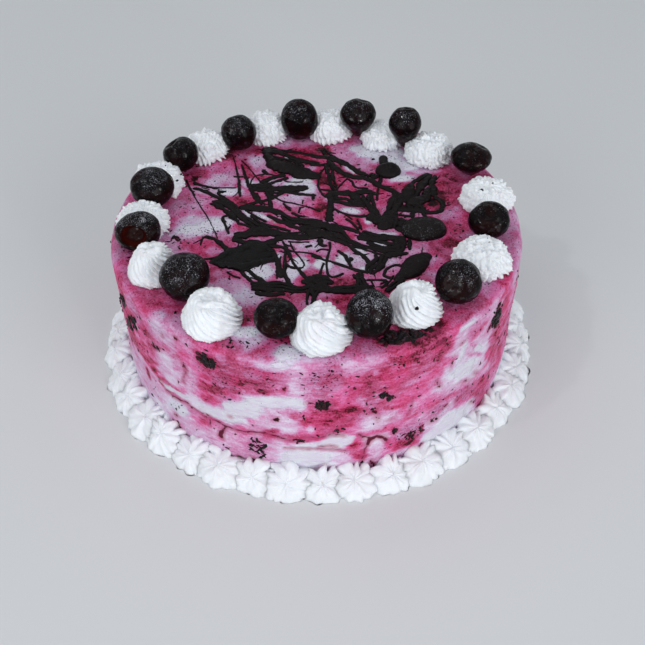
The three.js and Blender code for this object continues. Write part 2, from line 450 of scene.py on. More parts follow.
def frost_bloom(tree: NodeTree) -> None:
    """Ice bloom on a dark skin: a haze in patches, and fine bright crystals where it is thick."""
    pen, given, taken = open_group(tree, ("Amount", "Size"), ("Haze", "Crystals"))
    spot = pen.place()
    patches = pen.grain(spot, pen.math("MULTIPLY", given["Size"], 9.0), 3.0, 0.6)
    grains = pen.grain(spot, given["Size"], 1.0, 0.8)
    cover = pen.math("MULTIPLY", given["Amount"], pen.between(patches, 0.25, 0.75, 0.35, 1.25))
    pen.put(taken["Haze"], pen.math("MINIMUM", cover, 1.0))
    bright = pen.math("ADD", grains, pen.math("MULTIPLY", cover, 0.28))
    pen.put(taken["Crystals"], pen.between(bright, 0.74, 0.86))


def place_group(pen: NodePen, effect: SharedEffect, values: Values) -> bpy.types.NodeOutputs:
    """Places a shared group in a material, with numbers or sockets for its inputs."""
    return pen.node("ShaderNodeGroup", values, node_tree=shared_effect(effect)).outputs


def new_material(name: str) -> tuple[Material, NodePen]:
    """An empty node material and the pen that draws in it."""
    material = bpy.data.materials.new(name)
    material.use_nodes = True
    return material, NodePen(material.node_tree)


@dataclass(frozen=True)
class IceCreamFinish:
    """Marbled ice cream: the painted tone picks a colour from white through pink to dark red."""

    stops: tuple[tuple[float, Colour], ...] = (
        (0.00, (0.78, 0.77, 0.85)),
        (0.10, (0.76, 0.675, 0.81)),
        (0.22, (0.71, 0.515, 0.695)),
        (0.34, (0.68, 0.38, 0.58)),
        (0.46, (0.64, 0.27, 0.475)),
        (0.56, (0.61, 0.19, 0.38)),
        (0.65, (0.585, 0.124, 0.275)),
        (0.73, (0.53, 0.080, 0.195)),
        (0.80, (0.465, 0.058, 0.150)),
        (0.86, (0.360, 0.033, 0.092)),
        (0.92, (0.190, 0.014, 0.040)),
        (1.00, (0.050, 0.004, 0.011)),
    )
    white: Colour = (0.72, 0.715, 0.78)
    lilac: Colour = (0.70, 0.62, 0.745)
    vivid: Colour = (1.14, 0.68, 0.86)
    dusty: Colour = (0.70, 0.78, 0.80)
    # crimson round the stains is juice; round the creases it is partly painted shade of the groove
    halo: Colour = (0.42, 0.040, 0.125)
    juice: tuple[tuple[float, Colour], ...] = (
        (0.0, (0.17, 0.010, 0.030)),
        (0.3, (0.050, 0.005, 0.011)),
        (0.65, (0.014, 0.004, 0.006)),
        (1.0, (0.006, 0.0035, 0.0045)),
    )
    # dark crimson of the creases: partly the crack's own colour, partly painted shade of the groove
    crack: Colour = (0.115, 0.007, 0.028)
    fleck: Colour = (0.045, 0.008, 0.016)
    grain_size: float = 0.9
    swirl_size: float = 9.0
    curl_size: float = 3.6
    crumb_size: float = 2.0
    fleck_size: float = 0.85
    hue_size: float = 13.0
    mottling: float = 0.56
    smear_relief: float = 2.4
    white_relief: float = 1.3
    dull: float = 0.5
    wet: float = 0.12

    def base(self, pen: NodePen, stir: Socket, drift: Socket) -> Socket:
        """The soft marbling: tone and stir through the ramp, vivid in drifts, dusty where peppered."""
        tone = pen.painted("tone")
        reach = pen.between(tone, 0.0, 0.45, 0.35, 1.0)
        colour = pen.ramp(pen.math("MULTIPLY_ADD", stir, reach, tone), self.stops)
        strong = pen.math("MULTIPLY", pen.between(drift, 0.42, 0.60), pen.between(tone, 0.25, 0.6))
        colour = pen.mix(strong, colour, self.vivid, "MULTIPLY")
        dust = pen.math("MULTIPLY", pen.painted("specks"), 0.6)
        return pen.mix(dust, colour, self.dusty, "MULTIPLY")

    def whitened(self, pen: NodePen, stir: Socket, drift: Socket) -> Socket:
        """How white the white patches are: crisp-edged in some drifts, melting away in others."""
        edge = pen.math("MULTIPLY_ADD", stir, 4.0, pen.painted("white"))
        edge = pen.math("DIVIDE", edge, pen.between(drift, 0.38, 0.60, 0.5, 2.6))
        return pen.between(edge, -0.35, 0.35, 0.0, 0.88)

    def material(self) -> Material:
        """Builds the material.

        Returns:
            A material that reads the layers "tone", "white", "stain", "crease", "specks" and "gloss".
        """
        material, pen = new_material("marbled_ice_cream")
        grain = place_group(pen, SharedEffect.COLD_GRAIN, {"Size": self.grain_size})
        spot = pen.place()
        swirls = pen.grain(pen.place((0.7, 0.7, 1.4)), self.swirl_size, 4.0, 0.9)
        curls = pen.grain(pen.place((0.6, 0.6, 1.8)), self.curl_size, 5.0, 0.7)
        crumbs = pen.math("SUBTRACT", pen.grain(spot, self.crumb_size, 3.0, 0.4), 0.5)
        flecks = pen.grain(spot, self.fleck_size, 1.0)
        drift = pen.grain(spot, self.hue_size, 2.0)
        broad = pen.between(swirls, 0.36, 0.64, -0.09, 0.09)
        patches = pen.math("ADD", broad, pen.between(curls, 0.36, 0.64, -0.08, 0.08))
        mottle = pen.math("SUBTRACT", grain["Mottle"], 0.5)
        stir = pen.math("MULTIPLY_ADD", mottle, self.mottling, patches)
        colour = self.base(pen, stir, drift)
        snow = pen.mix(pen.between(curls, 0.38, 0.62), self.white, self.lilac)
        whitened = self.whitened(pen, stir, drift)
        colour = pen.mix(whitened, colour, snow)
        peppered = pen.math("MULTIPLY_ADD", pen.painted("specks"), 0.17, flecks)
        colour = pen.mix(pen.between(peppered, 0.77, 0.82), colour, self.fleck)
        stain = pen.painted("stain")
        # a crimson halo of juice round the dark stains
        colour = pen.mix(pen.between(stain, -2.0, 0.3, 0.0, 0.55), colour, self.halo)
        depth = pen.math("MULTIPLY_ADD", crumbs, 4.0, stain)
        dark = pen.ramp(pen.between(depth, 0.0, 1.5), self.juice)
        colour = pen.mix(pen.between(depth, 0.0, 0.3), colour, dark)
        # the creases: a crimson halo and a dark crimson line, partly the crack's colour and partly
        # painted shade
        crack = pen.math("MULTIPLY_ADD", crumbs, 0.8, pen.painted("crease"))
        colour = pen.mix(pen.between(crack, -2.2, 0.0, 0.0, 0.65), colour, self.halo)
        colour = pen.mix(pen.between(crack, -0.25, 0.2), colour, self.crack)
        smears = pen.math("MULTIPLY_ADD", curls, self.smear_relief, grain["Height"])
        relief = pen.math("MULTIPLY_ADD", whitened, self.white_relief, smears)
        pen.finish({
            "Base Color": colour,
            "Roughness": pen.between(pen.painted("gloss"), 0.0, 1.0, self.dull, self.wet),
            "Specular IOR Level": 0.12,
            "Subsurface Weight": 0.05,
            "Subsurface Radius": (1.0, 0.5, 0.6),
            "Subsurface Scale": 0.001,
            "Normal": pen.bump(relief, 0.4, 0.75),
        })
        return material


@dataclass(frozen=True)
class CreamFinish:
    """Piped cream: a cool white, a little see-through, with a pink stain where painted."""

    white: Colour = (0.86, 0.88, 0.91)
    shade: Colour = (0.80, 0.83, 0.88)
    stained: Colour = (0.72, 0.40, 0.50)
    grain_size: float = 1.1

    def material(self) -> Material:
        """Builds the material.

        Returns:
            A material that reads the layer "stain".
        """
        material, pen = new_material("piped_cream")
        grain = place_group(pen, SharedEffect.COLD_GRAIN, {"Size": self.grain_size})
        shaded = pen.mix(pen.between(grain["Mottle"], 0.3, 0.7, 0.0, 0.25), self.white, self.shade)
        colour = pen.mix(pen.painted("stain"), shaded, self.stained)
        pen.finish({
            "Base Color": colour,
            "Roughness": 0.55,
            "Specular IOR Level": 0.3,
            "Subsurface Weight": 0.6,
            "Subsurface Radius": (1.0, 0.95, 0.9),
            "Subsurface Scale": 0.0022,
            "Normal": pen.bump(grain["Height"], 0.2, 0.6),
        })
        return material


@dataclass(frozen=True)
class CherryFinish:
    """Frozen cherry skin: near black and wet in patches, frosted above, with red flesh where pitted."""

    skin: Colour = (0.0040, 0.0022, 0.0026)
    blush: Colour = (0.0110, 0.0024, 0.0026)
    haze: Colour = (0.0065, 0.0058, 0.0074)
    crystal: Colour = (0.34, 0.34, 0.38)
    flesh: Colour = (0.047, 0.005, 0.003)
    # the hole's deep middle: darker flesh, partly painted shade in the hollow
    pit: Colour = (0.016, 0.002, 0.0015)
    crystal_size: float = 0.42
    juice_size: float = 2.4
    blush_size: float = 7.0

    def material(self) -> Material:
        """Builds the material.

        Returns:
            A material that reads the layers "frost" and "flesh".
        """
        material, pen = new_material("frosted_cherry")
        frost = pen.painted("frost")
        flesh = pen.painted("flesh")
        bloom = place_group(pen, SharedEffect.FROST_BLOOM, {"Amount": frost, "Size": self.crystal_size})
        patches = pen.between(pen.grain(pen.place(), self.blush_size), 0.4, 0.65)
        skin = pen.mix(patches, self.skin, self.blush)
        hazy = pen.mix(bloom["Haze"], skin, self.haze)
        icy = pen.mix(bloom["Crystals"], hazy, self.crystal)
        torn = pen.mix(pen.between(flesh, 0.0, 0.5), icy, self.flesh)
        # darker towards the middle of the hole: dark flesh and painted shade in the hollow
        colour = pen.mix(pen.between(flesh, 0.6, 1.0), torn, self.pit)
        dull = pen.math("MULTIPLY_ADD", bloom["Haze"], 0.35, pen.between(flesh, 0.2, 0.8, 0.18, 0.4))
        juicy = pen.between(pen.grain(pen.place(), self.juice_size), 0.57, 0.64, 0.0, 0.5)
        pen.finish({
            "Base Color": colour,
            "Roughness": dull,
            "Specular IOR Level": 0.07,
            "Coat Weight": juicy,
            "Coat Roughness": 0.05,
            "Normal": pen.bump(bloom["Crystals"], 0.18, 0.7),
        })
        return material


@dataclass(frozen=True)
class ChocolateFinish:
    """Frozen chocolate: a matt near black with frost dots, glossy where it lies wet."""

    dark: Colour = (0.0042, 0.0025, 0.0026)
    brown: Colour = (0.0090, 0.0050, 0.0050)
    wet: Colour = (0.0014, 0.0007, 0.0008)
    crystal: Colour = (0.085, 0.085, 0.092)
    grain_size: float = 0.9
    crystal_size: float = 0.6

    def material(self) -> Material:
        """Builds the material.

        Returns:
            A material that reads the layers "gloss" and "frost".
        """
        material, pen = new_material("frozen_chocolate")
        frost = {"Amount": pen.painted("frost"), "Size": self.crystal_size}
        grain = place_group(pen, SharedEffect.COLD_GRAIN, {"Size": self.grain_size})
        bloom = place_group(pen, SharedEffect.FROST_BLOOM, frost)
        gloss = pen.painted("gloss")
        base = pen.mix(grain["Mottle"], self.dark, self.brown)
        damp = pen.mix(gloss, base, self.wet)
        colour = pen.mix(bloom["Crystals"], damp, self.crystal)
        pen.finish({
            "Base Color": colour,
            "Roughness": pen.between(gloss, 0.0, 1.0, 0.5, 0.3),
            "Specular IOR Level": 0.15,
            "Coat Weight": pen.math("MULTIPLY", gloss, 0.03),
            "Coat Roughness": 0.04,
            "Normal": pen.bump(grain["Height"], 0.3, 0.7),
        })
        return material


@dataclass(frozen=True)
class FruitFinish:
    """Chopped dark fruit and seeds: near black, with red where the flesh is torn."""

    dark: Colour = (0.0045, 0.0025, 0.0035)
    red: Colour = (0.050, 0.006, 0.012)
    grey: Colour = (0.045, 0.042, 0.052)
    grain_size: float = 0.7

    def material(self) -> Material:
        """Builds the material.

        Returns:
            A material that reads the layer "kind", from black through red to frosted grey.
        """
        material, pen = new_material("dark_fruit")
        colour = pen.ramp(pen.painted("kind"), ((0.0, self.dark), (0.55, self.red), (1.0, self.grey)))
        fine = pen.grain(pen.place(), self.grain_size)
        pen.finish({
            "Base Color": colour,
            "Roughness": pen.between(fine, 0.3, 0.7, 0.3, 0.6),
            "Specular IOR Level": 0.2,
            "Normal": pen.bump(fine, 0.2, 0.5),
        })
        return material


# Marbling

FAR = 4.0


@dataclass(frozen=True)
class Oval:
    """One patch of colour, an oval with a ragged edge.

    across and along are its centre: degrees round and millimetres up on the side, x and y on the
    top. half_length and half_width are millimetres, turn tips its length anticlockwise as seen.
    A soft field's tone runs from 0, white, through 0.3, lilac, 0.5, pink, and 0.75, magenta, to 1,
    black red; for the other layers it is the patch's strength. wet says how glossy it is.
    """

    across: float
    along: float
    half_length: float
    half_width: float
    tone: float = 1.0
    turn: float = 0.0
    wet: float = 0.0


@dataclass(frozen=True)
# a crease's dark crimson line and halo are partly painted shade of the groove
class Crease:
    """A crack or a run of juice: a line through points of the chart, and its full width."""

    path: tuple[Point, ...]
    width: float


@dataclass(frozen=True)
class Chart:
    """What is painted on one face: soft fields, crisp whites, grainy dark stains, specks and creases."""

    fields: tuple[Oval, ...]
    whites: tuple[Oval, ...]
    stains: tuple[Oval, ...]
    specks: tuple[Oval, ...]
    creases: tuple[Crease, ...] = ()


def creases(*rows: Sequence[float | Point]) -> tuple[Crease, ...]:
    """Creases from rows of a width and the points that the line runs through."""
    return tuple(Crease(tuple(path), width) for width, *path in rows)


SIDE = Chart(
    fields=rows_of(
        Oval,
        # the left
        (178, 46, 16, 22, 0.78), (190, 55, 12, 16, 0.66, -20), (192, 30, 14, 12, 0.45, -20),
        (203, 70, 10, 8, 0.78, 35), (213, 67, 16, 9, 0.54, 10), (206, 56, 10, 10, 0.7, 40),
        (218, 54, 11, 7, 0.64, 10), (227, 69, 10, 8, 0.27), (235, 67, 7, 9, 0.5),
        (250, 64, 21, 11, 0.68), (242, 56, 10, 6, 0.74), (255, 58, 11, 4, 0.75, 5),
        (213, 42, 15, 7, 0.73, 15), (226, 47, 8, 11, 0.24, 5), (240, 34, 20, 5, 0.15, 3),
        (234, 49, 7, 9, 0.38), (244, 49, 11, 7, 0.67, 10), (245, 43, 8, 3, 0.5, 15),
        (210, 22, 22, 14, 0.32, 20), (228, 23, 10, 6, 0.18), (235, 25, 6, 4.5, 0.48),
        (236.9, 24.8, 2.6, 2.6, 0.66, 20), (226, 13.5, 9, 5, 0.32), (244, 17, 11, 9, 0.36),
        (253.5, 18, 6.5, 10, 0.5), (257, 37, 9, 7, 0.33, 10), (259, 20, 4, 8, 0.3),
        # the front
        (264, 67, 4, 11, 0.32), (271, 67, 9, 9, 0.6), (276, 58, 11, 6, 0.59),
        (282.3, 60, 3.5, 11, 0.65), (290.5, 66, 13, 11, 0.69), (289, 57, 11, 5, 0.65),
        (273, 42, 14, 10, 0.74), (265, 43, 4, 5, 0.62), (289, 46, 11, 7, 0.6), (297, 52, 9, 8, 0.56),
        (298, 42, 8, 6, 0.5), (262, 37, 5, 4, 0.24), (286, 35, 9, 5, 0.27, 8), (290, 29, 7, 4, 0.48),
        (268, 16, 15, 8, 0.1), (279.6, 21, 9, 4.4, 0.74, -60), (284, 28, 6, 2.2, 0.54),
        (290, 19.5, 5, 4, 0.6), (285, 18, 3.4, 4, 0.3), (268, 35, 2.4, 3, 0.3, 10),
        (294, 16, 10, 4.5, 0.72, -8), (294, 25, 9, 6, 0.52), (288, 9.5, 9, 3, 0.44),
        (256.8, 29.5, 4, 2.8, 0.8, 10),
        # the right
        (299.5, 66, 8, 7, 0.72), (298, 71, 8, 6, 0.755, -15), (303.4, 68, 3.2, 6, 0.84, -28),
        (301, 71, 4, 4, 0.85, -20), (297, 66.5, 6, 3, 0.73), (303, 33, 14, 6, 0.58),
        (315, 27, 14, 8, 0.62, -10), (324, 18, 12, 10, 0.67, -35), (309, 14.5, 15, 7, 0.08),
        (312, 48, 18, 12, 0.18, -8), (309.5, 66, 6, 12, 0.27, -10), (316, 50, 9, 1.3, 0.5, -38),
        (314, 58, 6, 1.2, 0.45, -50), (316, 67.5, 9, 5, 0.52, 5), (323, 45, 5, 13, 0.22, -18),
        (329, 56, 11, 20, 0.68, -10), (333, 26, 13, 14, 0.57, -30), (338, 62, 8, 10, 0.42),
        (350, 45, 16, 20, 0.55), (358, 52, 8, 9, 0.76), (2, 38, 9, 7, 0.1),
        # dark red blots
        (213.3, 46.2, 2.6, 2.2, 0.82, -30), (217.5, 42.5, 3.6, 2.2, 0.82, 30),
        (219.7, 38.4, 3.6, 1.8, 0.82, 25), (221.6, 33.5, 1.6, 3, 0.82, 10), (214, 29, 1.8, 3.4, 0.8),
        (274.7, 33.6, 3.4, 2.4, 0.82), (258.3, 32, 2, 1.6, 0.82, 20), (294, 14, 2, 1.2, 0.87),
        (298, 21, 1.6, 3.2, 0.82), (326.5, 49, 3, 3, 0.82), (302.4, 72, 4, 4, 0.87, -20),
        (302.6, 67.5, 3.4, 3.4, 0.85, -30), (241.5, 66, 7, 6, 0.77), (258, 74.5, 8, 3.4, 0.24),
    ),
    whites=rows_of(
        Oval,
        (228, 34.5, 8, 1.8, 1, 4), (243, 34, 11, 3.2, 1, 5), (250, 42.5, 11, 5, 1, 30),
        (258, 51, 12, 3.8, 1, 6), (264, 50.8, 4.5, 3, 1, -20), (273.5, 26, 7, 4.2, 1, 2),
        (267, 23.8, 5, 1.6), (311, 46, 10, 4.6, 1, -14), (309, 58, 1.8, 6, 1, -16),
        (317, 53, 4, 1.6, 1, -40), (311, 74.5, 5, 1.6), (308, 15, 14, 6), (266, 14.5, 11, 5.5),
        (228, 23, 5, 3.5), (261, 75, 4.6, 2.2), (2, 38, 7, 5),
    ),
    stains=rows_of(
        Oval,
        (204, 59.5, 9, 2.6, 1, 48), (206.5, 52.5, 8, 2.6, 1, 50), (211, 58, 4, 3.2),
        (240.8, 67, 4.4, 4, 0.9, 30), (216.6, 67.5, 1, 2.6, 0.7), (222, 56.5, 3.4, 1.3, 0.8, 15),
        (232.8, 55.5, 1.1, 1.8, 0.8), (231.8, 72.3, 1.3, 1), (226.3, 67.3, 1, 0.8),
        (239.6, 41.6, 1.2, 0.8, 1, 20), (239, 30, 1.2, 0.7), (246, 35, 0.7, 0.6), (248, 73, 1, 0.8),
        (226.4, 15.7, 1.4, 0.8, 1, 20), (271, 50.2, 3.4, 3.1), (264.4, 27.3, 3.4, 1, 1, 5),
        (259.3, 40.4, 0.9, 0.7, 1, 20), (267.8, 52, 1.2, 0.8), (271, 56.5, 0.7, 1.4),
        (261.3, 60.3, 0.7, 0.9), (278.4, 59.2, 1.2, 1), (287.6, 50.6, 3.8, 1.7, 1, -48),
        (283.5, 55.5, 1.2, 0.7, 1, -30), (283.4, 42.4, 1.6, 0.8), (280, 45, 0.8, 0.8),
        (285, 38.5, 0.6, 1.6, 0.8, 10), (288.6, 35.5, 1, 0.5), (289.9, 26.3, 1.5, 1.8),
        (294.6, 19.5, 2.6, 1.8, 0.6), (302.5, 46.6, 2.4, 0.8, 1, -56), (306.2, 56.5, 0.5, 1.6, 0.8),
        (308.6, 65.5, 0.9, 0.5), (304.6, 73.8, 1.6, 0.9), (301.8, 23.3, 2, 1.1, 0.4),
        (306, 28.5, 1.2, 0.7, 0.5), (314.6, 30.5, 0.7, 1.3), (309.4, 27, 0.8, 1.4, 0.7),
        (317.7, 36.8, 1.4, 0.6, 1, -30), (325.5, 62.5, 4.4, 5.5, 0.95), (321.5, 60, 1.6, 1.6, 0.8),
        (325.8, 22, 1.5, 1.6, 0.7, -40), (320.8, 17.6, 1.5, 1, 0.7, -40), (318, 16, 1.6, 0.7, 0.7, -40),
        (313, 36.8, 2, 0.5, 0.6, -20), (301.4, 74.5, 2.6, 1.8, 0.9, -40, 0.9),
        (303.6, 70.5, 3, 0.9, 0.8, -62), (274.7, 33.6, 2.2, 1.3, 0.4),
    ),
    specks=rows_of(
        Oval,
        (244, 62, 14, 13, 0.9), (255, 66, 10, 8, 0.8), (217, 66, 10, 8, 0.4), (271, 68, 9, 9, 0.8),
        (281, 55, 8, 13, 0.5), (274, 41, 12, 9, 0.6), (290, 68, 10, 8, 0.3), (294, 20, 9, 8, 0.9),
        (304, 28, 6, 6, 0.7), (313, 27, 12, 8, 0.7), (322, 20, 8, 8, 0.7), (253, 18, 6, 9, 0.7),
        (300, 70, 8, 8, 0.4), (228, 23, 7, 5, 0.6), (226, 70, 8, 5, 0.5), (325, 60, 7, 9, 0.6),
        (246, 50, 8, 6, 0.6),
    ),
    creases=creases(
        (0.7, (223, 30), (226, 28.4), (229, 29.6), (232, 30.6)),
        (0.4, (232, 30.6), (236, 29), (238.7, 26), (238.5, 22.5)),
        (0.5, (239.5, 27.6), (243.3, 26.4), (246.3, 26.2), (251, 28), (256, 30.2), (259.4, 28.7)),
        (0.5, (259.4, 28.7), (262.5, 26.8)), (0.6, (244, 26.4), (243, 23.3), (242.7, 21)),
        (1.5, (242.7, 21), (242.6, 18)), (0.3, (266, 30), (270, 29.6), (273, 31), (276, 29.6)),
        (0.1, (260.5, 21.4), (268, 21.8), (276.5, 20.2)), (0.1, (269.8, 23.4), (272, 24), (274, 23.4)),
        (0.6, (280, 28.7), (281.3, 26.4), (284, 24.4)),
        (0.5, (281.9, 13.4), (281.8, 17.5), (282.4, 21.4)),
        (1, (282.4, 21.4), (283.2, 24), (285, 25), (286.6, 23.6), (287.8, 20.6)),
        (0.2, (281, 10.5), (281.7, 13.4)), (1.8, (226, 9.5), (227, 6), (226.6, 3)),
        (1, (236, 6), (235.6, 3)), (1.2, (247.6, 8), (247, 2)), (1.2, (251, 8), (250.5, 5)),
        (1, (255.5, 6), (256.6, 3)), (1, (259.8, 8), (259.6, 6)),
        (0.2, (294.2, 45), (294.4, 40), (293.8, 35)), (0.2, (233, 54), (232.8, 50), (232, 45)),
        (0.7, (295, 10), (294.8, 6)), (0.8, (284, 9), (284.5, 4)), (0.5, (298.5, 10), (299.6, 8)),
    ),
)

TOP = Chart(
    fields=rows_of(
        Oval,
        # the left half, from the back to the front
        (-52, 45, 14, 9, 0.52, 10), (-60, 38, 6, 7, 0.74), (-48, 36, 12, 6, 0.34),
        (-58, 27, 8, 5, 0.34), (-60, 15, 9, 9, 0.48), (-52, 12, 6, 5, 0.48), (-42, 60, 8, 7, 0.78),
        (-36, 55, 6, 6, 0.52), (-30, 53, 5, 7, 0.22), (-29, 44, 5, 4, 0.45), (-44, 26, 8, 4, 0.14),
        (-34, 33, 4, 5, 0.22), (-35, 17, 5, 4, 0.76), (-24, 33, 8, 3, 0.28), (-8, 31, 8, 6, 0.08),
        (-4, 25, 3, 5, 0.12), (-12, 16, 7, 5, 0.28), (-3, 15, 4, 8, 0.52), (-6, 4, 7, 5, 0.6, -20),
        (-17, 17, 5, 4, 0.34), (-7, 58, 9, 3, 0.76, -25), (-2, 63, 7, 5, 0.82),
        (-14, 58, 6, 2.5, 0.74, -25), (-2, 52, 5, 2.5, 0.78), (-8, 48, 3, 3, 0.2), (-2, 46, 3, 3, 0.3),
        (-55, -4, 13, 6, 0.1, 15), (-62, 0, 6, 5, 0.22), (-46, -9, 8, 4, 0.42), (-50, -17, 9, 5, 0.74),
        (-60, -17, 5, 5, 0.74), (-48, -23, 5, 3, 0.36), (-42, -17, 4, 4, 0.76),
        (-36, -5, 5, 3, 0.66, -20), (-27, -4, 8, 3, 0.52, -25), (-47, -39, 4, 5, 0.79),
        (-40, -42, 8, 4, 0.55, -20), (-40, -48, 9, 5, 0.32), (-33, -57, 8, 7, 0.25),
        (-18, -55, 6, 3, 0.76, -15), (-22, -46, 4, 3, 0.5), (-24, -38, 7, 5, 0.12, 30),
        (-18, -30, 3, 4, 0.3), (-20, -24, 4, 3, 0.64), (-9, -24, 5, 3, 0.45), (-13, -44, 5, 4, 0.3),
        (-74, -55, 12, 9, 0.68, -35), (-90, 0, 8, 20, 0.55),
        # the right half
        (3, 61, 6, 7, 0.9), (14, 60, 5, 7, 0.45), (20, 52, 8, 5, 0.38, -20), (26, 50, 5, 8, 0.46),
        (18, 45, 5, 3, 0.24, -45), (35, 58, 14, 8, 0.08, -15), (45, 48, 9, 7, 0.1, -20),
        (55, 42, 9, 4, 0.28), (44, 35, 8, 5, 0.18, 10), (42, 28, 8, 3.5, 0.7, 15), (6, 34, 7, 13, 0.82),
        (17, 31, 7, 6, 0.56), (21, 27, 6, 4, 0.58), (35, 17.5, 4, 4, 0.7), (15, 17.5, 4, 2.5, 0.58),
        (17, 8, 8, 4, 0.46, -15), (13, 0, 6, 5, 0.64, -30), (3, 7, 4, 9, 0.86), (66, 22, 8, 15, 0.76),
        (58, 16, 7, 10, 0.93), (60, 31, 5, 7, 0.8), (68, -5, 9, 8, 0.64), (64, 2, 6, 4, 0.42),
        (66, -20, 6, 8, 0.7), (52, -24, 9, 6, 0.6), (60, -26, 4, 9, 0.76), (53, -33, 6, 5, 0.44),
        (46, -26, 5, 3, 0.46), (57, -45, 5, 6, 0.42), (21, -5, 3, 6, 0.8), (27, 0, 2.5, 4, 0.08, -30),
        (16, -12, 3, 4, 0.74), (14, -18, 5, 3, 0.66), (28, -20, 7, 3, 0.14, -30),
        (22, -27, 5, 4, 0.3, -40), (18, -33, 6, 6, 0.3), (8, -38, 6, 6, 0.38), (33, -33, 6, 3, 0.34),
        (36, -40, 5, 4, 0.44), (26, -46, 6, 4, 0.46), (12, -47, 7, 3, 0.78), (5, -22, 6, 4, 0.54),
        (12, -24, 4, 4, 0.58), (-2, -20, 6, 3, 0.28), (12, -62, 9, 6, 0.74), (42, -83, 14, 8, 0.8, 10),
        (50, -80, 6, 6, 0.86, 35), (64, -58, 9, 9, 0.52, -45), (82, -20, 8, 12, 0.5),
        (-28, -82, 10, 6, 0.26), (-13, -92, 8, 4.5, 0.16),
    ),
    whites=rows_of(
        Oval,
        (-54, -4, 14, 4.6, 1, 18), (-44, 26, 6, 2.4, 1, 5), (-8, 30, 7, 5.5), (-26, -39, 6, 4.5, 1, 35),
        (-8, -33, 4.5, 5.5), (-11, -40, 3.5, 4.5), (3, -34, 4, 4, 1, -30), (12, -31, 3.5, 5, 1, -25),
        (27, 0, 2, 3.6, 1, -35), (34, 60, 13, 6, 1, -12), (46, 48, 7, 5, 1, -25),
        (30, -21, 3, 1.4, 1, -40), (21, -26, 3.5, 1.8, 1, -45), (17, 7.5, 4, 2, 1, -20),
        (-33, 33, 1.6, 3), (-12, 54, 3.5, 1.4, 1, -28), (19, 44, 3.6, 1.4, 1, -45),
        (33, -11.4, 4.5, 1.2, 1, -6), (22, -38, 3, 1.6), (-18, -31, 1.2, 4), (44, 35, 4, 2.4, 1, 10),
        (-33, 6, 4, 1.2, 1, -55), (-26, 3.5, 4.5, 1.2, 1, -40), (-13, -93, 5.5, 3.4), (-30, -79, 5, 3),
    ),
    stains=rows_of(
        Oval,
        (-62, 38, 2, 3.4, 0.6), (58, 15, 3.6, 5, 0.9), (44.5, 11, 4, 2.4, 0.7),
        (36, -83.5, 8, 3.6, 0.9, 8, 0.9), (31, -86, 4, 3, 0.7), (46, -80, 4, 2.4, 0.6),
        (21, -5, 1, 3.4, 0.5, 10), (2, 63, 3, 2, 0.5, -30, 0.8),
    ),
    specks=rows_of(
        Oval,
        (-52, 44, 14, 9), (-60, 15, 8, 9, 0.9), (-56, -8, 11, 2.6, 1, 18), (25, 50, 8, 7, 0.7),
        (10, 28, 10, 10, 0.6), (-8, 8, 9, 7, 0.8), (62, 5, 9, 20, 0.8), (55, -25, 9, 8, 0.9),
        (-45, -45, 8, 5, 0.5), (20, -22, 8, 6, 0.5), (-35, -75, 22, 8, 0.7, -12),
        (62, -62, 10, 8, 0.6, 45),
    ),
)


@dataclass(frozen=True)
class Paint:
    """What is painted on a set of points.

    tone is the soft colour under all. white, stain and crease are distances in millimetres inside
    the edge of the crisp white patches, of the dark ones and of the creases. specks says how
    thickly the surface is peppered, and gloss how wet it is.
    """

    tone: Array
    white: Array
    stain: Array
    crease: Array
    specks: Array
    gloss: Array

    def blend(self, other: "Paint", share: Array) -> "Paint":
        """This paint at share 0, the other at share 1."""
        mine, theirs = vars(self), vars(other)
        return Paint(**{name: mine[name] + (theirs[name] - mine[name]) * share for name in mine})


